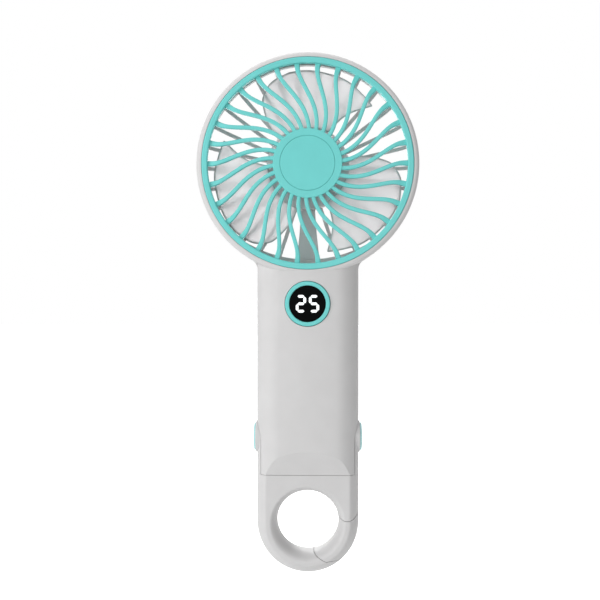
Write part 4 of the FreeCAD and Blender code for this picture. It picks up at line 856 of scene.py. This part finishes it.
@dataclass
class Impeller:
    """Hub cup and three wide frosted blades, each edged with a thin darker grey tube that paints the shade
    line along the blade's edge.
    """

    hub_radius: float = 17.1
    hub_wall: float = 1.4
    hub_front: float = 12.0
    hub_length: float = 5.0
    boss_radius: float = 3.0
    boss_length: float = 1.9
    shaft_radius: float = 1.0
    hub_skin: float = 0.4
    pinhole: float = 0.2
    hub_round: float = 0.5
    tip: float = 39.8
    count: int = 3
    thickness: float = 0.9
    blade_round: float = 0.3
    blade_grid: tuple[int, int] = (48, 40)
    edge_shade_radius: float = 0.38
    edge_shade_spread: float = 1.006
    depth_leading: float = 14.6
    depth_trailing: float = 8.2
    clock_span: tuple[float, float] = (-46.0, 48.0)
    leading: Profile = ((0.0135, -45.0), (0.3282, -41.5), (0.6683, -35.1), (0.8061, -30.7),
                        (0.9405, -22.4), (1.0, -11.0))
    tips: Profile = ((1.0, -11.0), (1.0, 0.0), (0.9711, 12.8), (0.949, 24.5), (0.8775, 36.5),
                     (0.8384, 45.5))
    root_clocks: tuple[float, float] = (-18.0, 8.0)
    trailing: Profile = ((0.0135, 30.7), (0.1989, 33.2), (0.3792, 35.9), (0.5578, 40.2), (0.8214, 46.6))

    def build(self, finishes: Finishes) -> None:
        """Model and dress hub, blades and the darker edge tubes of painted shade.

        Args:
            finishes: The fan's finishes.
        """
        settle(self.hub(), Body.IMPELLER, "blade_grey", finishes, ["impeller"])
        # The edge tubes take the darker guard grey: painted shade along each blade's edge.
        for piece, slot in ((self.blade(), "blade_grey"), (self.edge_shade(), "guard_grey")):
            Bench.repeat(piece, self.count, HEAD_CENTRE)
            settle(piece, Body.IMPELLER, slot, finishes)

    def hub(self) -> Piece:
        """Cup over the motor with the boss that grips the shaft."""
        front = FRONT_Y + self.hub_front
        back = front + self.hub_length
        floor = front + self.hub_wall
        boss = front + self.boss_length
        inner = self.hub_radius - self.hub_wall
        hub = HEAD.turn("Impeller_Hub", [
            (self.shaft_radius, front + self.hub_skin), (self.shaft_radius, boss),
            (self.boss_radius, boss), (self.boss_radius, floor),
            (inner, floor), (inner, back), (self.hub_radius, back), (self.hub_radius, front),
            (self.pinhole, front), (self.pinhole, front + self.hub_skin)], True)
        return Bench.soften(hub, self.hub_round)

    def blade(self) -> Piece:
        """One blade: its middle surface, given its thickness and round edges."""
        blade = self.sheet("Impeller_Blades")
        solid = blade.modifiers.new("Thickness", "SOLIDIFY")
        solid.thickness = self.thickness * MM
        solid.offset = 0.0
        bpy.ops.object.modifier_apply(modifier=solid.name)
        return Bench.soften(blade, self.blade_round, 3, 60.0)

    def sheet(self, name: str, spread: float = 1.0) -> Piece:
        """Middle surface of one blade.

        Args:
            name: Name of the new piece.
            spread: Size of its outline over the blade's own.

        Returns:
            The surface, without thickness.
        """
        bpy.ops.object.select_all(action="DESELECT")
        across, outwards = self.blade_grid
        bpy.ops.mesh.primitive_grid_add(x_subdivisions=across, y_subdivisions=outwards, size=spread)
        sheet = Bench.start(name)
        outline = self.outline()
        for vertex in sheet.data.vertices:
            vertex.co = self.on_sheet(outline, vertex.co.x + 0.5, vertex.co.y + 0.5)
        return sheet

    def edge_shade(self) -> Piece:
        """Thin darker grey tube along the edge of one blade: painted shade of the blade's edge."""
        edge_shade = self.sheet("Impeller_Edge_Shade", self.edge_shade_spread)
        with Bench.edit(edge_shade):
            bpy.ops.mesh.select_mode(type="EDGE")
            bpy.ops.mesh.region_to_loop()
            bpy.ops.mesh.select_all(action="INVERT")
            bpy.ops.mesh.delete(type="EDGE")
            bpy.ops.mesh.select_mode(type="VERT")
        Bench.take(edge_shade)
        bpy.ops.object.convert(target="CURVE")
        edge_shade.data.bevel_depth = self.edge_shade_radius * MM
        edge_shade.data.bevel_resolution = 2
        bpy.ops.object.convert(target="MESH")
        return edge_shade

    def outline(self) -> Outline:
        """Front view of the blade as a patch between its four edges.

        Returns:
            A function of the share across and the share outwards, giving radius and angle.
        """
        root = self.hub_radius - self.hub_wall / 2

        def along(edge: Profile, share: float) -> Vector:
            """Point on an edge, by a smooth curve through its corners.

            Args:
                edge: The edge's corners, as parts of the blade's length and angles.
                share: Place along the edge, from 0 to 1.

            Returns:
                The point, in millimetres from the axis.
            """
            place = share * (len(edge) - 1)
            index = min(int(place), len(edge) - 2)
            corners = [edge[max(0, index - 1)], edge[index], edge[index + 1],
                       edge[min(len(edge) - 1, index + 2)]]
            t = place - index
            points = []
            for part, clock in corners:
                radius = root + part * (self.tip - root)
                points.append(Vector((radius * math.sin(math.radians(clock)),
                                      radius * math.cos(math.radians(clock)))))
            a, b, c, d = points
            return 0.5 * (2 * b + (c - a) * t + (2 * a - 5 * b + 4 * c - d) * t ** 2
                          + (3 * b - a - 3 * c + d) * t ** 3)

        base = (self.leading[0], *((0.0, clock) for clock in self.root_clocks), self.trailing[0])

        def patch(across: float, out: float) -> tuple[float, float]:
            """Blend of the four edges.

            Args:
                across: Share from the leading to the trailing edge.
                out: Share from the hub to the tip.

            Returns:
                Radius and angle.
            """
            left, right = along(self.leading, out), along(self.trailing, out)
            low, high = along(base, across), along(self.tips, across)
            corner = ((1 - across) * (1 - out) * along(self.leading, 0.0)
                      + across * (1 - out) * along(self.trailing, 0.0)
                      + (1 - across) * out * along(self.tips, 0.0)
                      + across * out * along(self.tips, 1.0))
            point = (1 - across) * left + across * right + (1 - out) * low + out * high - corner
            return point.length, math.degrees(math.atan2(point.x, point.y))

        return patch

    def on_sheet(self, outline: Outline, across: float,
                 out: float) -> Vector:
        """Point of the blade's middle surface.

        Args:
            outline: The blade's front view.
            across: Share from the leading to the trailing edge.
            out: Share from the hub to the tip.

        Returns:
            The point in metres.
        """
        radius, clock = outline(across, out)
        start, end = self.clock_span
        turn = (clock - start) / (end - start)
        depth = self.depth_leading + (self.depth_trailing - self.depth_leading) * turn
        return polar(radius, clock, FRONT_Y + depth)


# ------------------------------------------------------------------------------------ controls
@dataclass
class DisplayButton:
    """Teal cap of the display, which is also the push button."""

    front: float = -11.75
    radius: float = 8.95
    window_radius: float = 7.3
    window_floor: float = -10.4
    cap_back: float = -9.6
    flange: tuple[float, float] = (-8.35, -7.55)
    flange_radius: float = 10.15
    skirt_radius: float = 7.75
    post_radius: float = 1.6
    post_end: float = -6.4
    cap_round: float = 0.34

    def build(self, finishes: Finishes) -> None:
        """Model and dress the cap."""
        settle(self.cap(), Body.BUTTON, "teal", finishes, ["display_ring"])

    def cap(self) -> Piece:
        """Ring, floor, skirt, flange and post in one turning."""
        lathe = Lathe(Axis.Y, (0.0, 0.0, DISPLAY_Z))
        cap = lathe.turn("Display_Cap", [
            (self.window_radius, self.window_floor), (self.window_radius, self.front),
            (self.radius, self.front), (self.radius, self.flange[0]),
            (self.flange_radius, self.flange[0]), (self.flange_radius, self.flange[1]),
            (self.skirt_radius, self.flange[1]), (self.skirt_radius, self.cap_back),
            (self.post_radius, self.cap_back), (self.post_radius, self.post_end)])
        return Bench.soften(cap, self.cap_round, 4)


@dataclass
class PivotCaps:
    """Pale caps on the two bosses that the loop folds on."""

    radius: float = 5.7
    seat: float = 20.7
    face: float = 22.0
    sides: int = 96
    edge_round: float = 0.55

    def build(self, finishes: Finishes) -> None:
        """Model and dress both caps."""
        for side, name in ((-1.0, "left"), (1.0, "right")):
            settle(self.cap(side, name), Body.LOOP, "pale_teal", finishes, [f"pivot_cap_{name}"])

    def cap(self, side: float, name: str) -> Piece:
        """One cap with a soft edge.

        Args:
            side: -1 for the left cap, 1 for the right one.
            name: Word that ends the piece's name.

        Returns:
            The cap.
        """
        lathe = Lathe(Axis.X, (0.0, 0.0, PIVOT_Z), self.sides)
        cap = lathe.turn(f"Pivot_Cap_{name}", [(self.radius, side * self.seat),
                                               (self.radius, side * self.face)])
        return Bench.soften(cap, self.edge_round, 5)


@dataclass
class GateSpring:
    """Torsion spring round the gate's pin, one leg in the loop and one in the gate."""

    pivot: tuple[float, float] = (15.9, 6.1)
    half_height: float = 2.0

    def build(self, finishes: Finishes) -> None:
        """Copy the node's wire into a piece of its own, dress it and hide the node.

        Args:
            finishes: The fan's finishes.
        """
        bpy.ops.object.select_all(action="DESELECT")
        bpy.ops.mesh.primitive_circle_add(vertices=8, radius=MM)
        spring = Bench.start("Gate_Spring")
        spring.data = frame["nodes"]["gate_spring"].data.copy()
        finishes.dress(spring, "spring_steel")
        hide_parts("gate_spring")
        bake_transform(spring)


@dataclass
class Screws:
    """Screws of one kind, all driven from the back."""

    name: str
    node: str
    places: tuple[tuple[float, float], ...]
    seat: float
    head_radius: float
    head_length: float
    shank_radius: float
    length: float
    sides: int = 48
    crown_share: float = 0.3
    top_shares: tuple[float, float] = (0.62, 0.86)
    tip_share: float = 0.3
    drive_shares: tuple[float, float] = (0.6, 0.16)
    drive_depth: float = 0.5
    edge_round: float = 0.06

    def build(self, finishes: Finishes) -> None:
        """Model one screw, copy it to every place and dress them.

        Args:
            finishes: The fan's finishes.
        """
        first = self.places[0]
        pieces = [self.screw(*first)]
        for x, z in self.places[1:]:
            pieces.append(Bench.copy_to(pieces[0], Vector((x - first[0], 0.0, z - first[1])) * MM))
        settle(Bench.join(self.name, pieces), Body.HOUSING, "screw_steel", finishes, [self.node])

    def screw(self, x: float, z: float) -> Piece:
        """Pan-head screw with a cross recess.

        Args:
            x: Place of its axis.
            z: Height of its axis.

        Returns:
            The screw.
        """
        top = self.seat + self.head_length
        tip = self.seat - self.length
        crown = self.head_length * self.crown_share
        flat, shoulder = self.top_shares
        screw = Lathe(Axis.Y, (x, 0.0, z), self.sides).turn(self.name, [
            (self.head_radius * flat, top), (self.head_radius * shoulder, top - crown * self.crown_share),
            (self.head_radius, top - crown), (self.head_radius, self.seat),
            (self.shank_radius, self.seat), (self.shank_radius, tip + self.shank_radius),
            (self.shank_radius * self.tip_share, tip)])
        for wide, high in (self.drive_shares, self.drive_shares[::-1]):
            bpy.ops.object.select_all(action="DESELECT")
            bpy.ops.mesh.primitive_cube_add(size=2.0, location=Vector((x, top, z)) * MM)
            bpy.context.object.scale = Vector((wide * self.head_radius, self.head_length * self.drive_depth,
                                               high * self.head_radius)) * MM
            slot = Bench.start("Drive")
            Bench.combine(screw, slot, "DIFFERENCE")
            bpy.data.objects.remove(slot)
        return Bench.soften(screw, self.edge_round, 2, 40.0)


SHELL_SCREWS = Screws("Shell_Screws", "shell_screws",
                      ((-14.3, 50.0), (14.3, 50.0), (-14.3, 90.9), (14.3, 90.9)),
                      seat=5.2, head_radius=1.9, head_length=1.3, shank_radius=1.0, length=9.0)
MOTOR_SCREWS = Screws("Motor_Screws", "motor_screws", ((-7.5, HEAD_Z), (7.5, HEAD_Z)),
                      seat=11.1, head_radius=1.5, head_length=0.7, shank_radius=0.8, length=2.4)


# ------------------------------------------------------------------------------------ studio
@dataclass(frozen=True)
class Softbox:
    """Square area lamp aimed at the middle of the handle."""

    name: str
    place: Point
    size: float
    power: float
    target: Point = (0.0, 0.0, 80.0)

    def hang(self) -> None:
        """Hang the lamp, with its power in watts."""
        bpy.ops.object.light_add(type="AREA", location=Vector(self.place) * MM)
        lamp = bpy.context.object
        lamp.name = self.name
        aim = Vector(self.target) - Vector(self.place)
        lamp.rotation_euler = aim.to_track_quat("-Z", "Y").to_euler()
        lamp.data.shape = "SQUARE"
        lamp.data.size = self.size * MM
        lamp.data.energy = self.power


@dataclass
class Studio:
    """Camera, lamps and the pale surroundings."""

    camera_at: Point = (5.0, -356.5, 87.8)
    camera_to: Point = (-2.98, -11.5, 89.8)
    lens: float = 52.08
    sensor: float = 36.0
    clip: tuple[float, float] = (10.0, 20000.0)
    ambient: float = 0.3
    floor_z: float = -60.0
    floor_size: float = 12000.0
    floor_tone: float = 0.85
    floor_glow: float = 0.9
    lamps: tuple[Softbox, ...] = (Softbox("Key", (-560.0, -430.0, 300.0), 420.0, 2.98),
                                  Softbox("Front", (60.0, -700.0, 160.0), 420.0, 0.87),
                                  Softbox("Top", (0.0, 60.0, 640.0), 500.0, 1.9),
                                  Softbox("Back", (-60.0, 700.0, 240.0), 420.0, 3.0))

    def build(self) -> None:
        """Set up the whole studio."""
        self.camera()
        self.world()
        self.floor()
        for lamp in self.lamps:
            lamp.hang()
        bpy.context.scene.view_settings.view_transform = "Standard"

    def camera(self) -> None:
        """Level camera a little to the gate's side, aimed beside the handle."""
        bpy.ops.object.camera_add(location=Vector(self.camera_at) * MM)
        camera = bpy.context.object
        camera.name = "Camera"
        aim = Vector(self.camera_to) - Vector(self.camera_at)
        camera.rotation_euler = aim.to_track_quat("-Z", "Y").to_euler()
        camera.data.lens = self.lens
        camera.data.sensor_width = self.sensor
        camera.data.clip_start, camera.data.clip_end = Vector(self.clip) * MM
        bpy.context.scene.camera = camera

    def world(self) -> None:
        """Even light all round, white where the camera looks past everything."""
        world = bpy.data.worlds.new("Surround")
        world.use_nodes = True
        bpy.context.scene.world = world
        tree = world.node_tree
        background = tree.nodes["Background"]
        level = tree.nodes.new("ShaderNodeMapRange")
        level.inputs["To Min"].default_value = self.ambient
        level.inputs["To Max"].default_value = 1.0
        tree.links.new(self.seen(tree), level.inputs["Value"])
        tree.links.new(level.outputs["Result"], background.inputs["Strength"])
        background.inputs["Color"].default_value = (1.0, 1.0, 1.0, 1.0)

    @staticmethod
    def seen(tree: bpy.types.NodeTree) -> Socket:
        """1 where the camera sees a surface directly, in a gloss or through glass.

        Args:
            tree: Node tree that gets the nodes.

        Returns:
            The number's socket.
        """
        path = tree.nodes.new("ShaderNodeLightPath")
        seen = path.outputs["Is Camera Ray"]
        for ray in ("Is Glossy Ray", "Is Transmission Ray"):
            either = tree.nodes.new("ShaderNodeMath")
            either.operation = "MAXIMUM"
            tree.links.new(seen, either.inputs[0])
            tree.links.new(path.outputs[ray], either.inputs[1])
            seen = either.outputs["Value"]
        return seen

    def floor(self) -> None:
        """Plain pale floor, well below the loop."""
        bpy.ops.mesh.primitive_plane_add(size=self.floor_size * MM, location=(0.0, 0.0, self.floor_z * MM))
        floor = bpy.context.object
        floor.name = "Floor"
        sheet = NodeSheet("Floor_Pale")
        sheet.value("Base Color", (self.floor_tone, self.floor_tone, self.floor_tone, 1.0))
        sheet.value("Roughness", 0.9)
        sheet.value("Specular IOR Level", 0.0)
        sheet.value("Emission Color", (1.0, 1.0, 1.0, 1.0))
        sheet.link(sheet.spread(self.seen(sheet.tree), 0.0, self.floor_glow), "Emission Strength")
        floor.data.materials.append(sheet.material)


# ------------------------------------------------------------------------------------ main
def dress_nodes(finishes: Finishes) -> None:
    """Give every node of the frame the finish of its own slot.

    Args:
        finishes: The fan's finishes.
    """
    slots = {row["node"]: row["material_slot"] for row in frame["record"]["subparts"]}
    for name, node in frame["nodes"].items():
        finishes.dress(node, slots[name])


def main() -> None:
    """Build the studio, dress the frame and add the detailed pieces."""
    logging.basicConfig(level=logging.INFO, format="%(name)s %(message)s")
    Studio().build()
    finishes = Finishes()
    dress_nodes(finishes)
    LOG.info("dressed %d nodes", len(frame["nodes"]))
    FrontGrille().build(finishes)
    RearGrille().build(finishes)
    Impeller().build(finishes)
    DisplayButton().build(finishes)
    PivotCaps().build(finishes)
    GateSpring().build(finishes)
    SHELL_SCREWS.build(finishes)
    MOTOR_SCREWS.build(finishes)


if __name__ == "__main__":
    main()
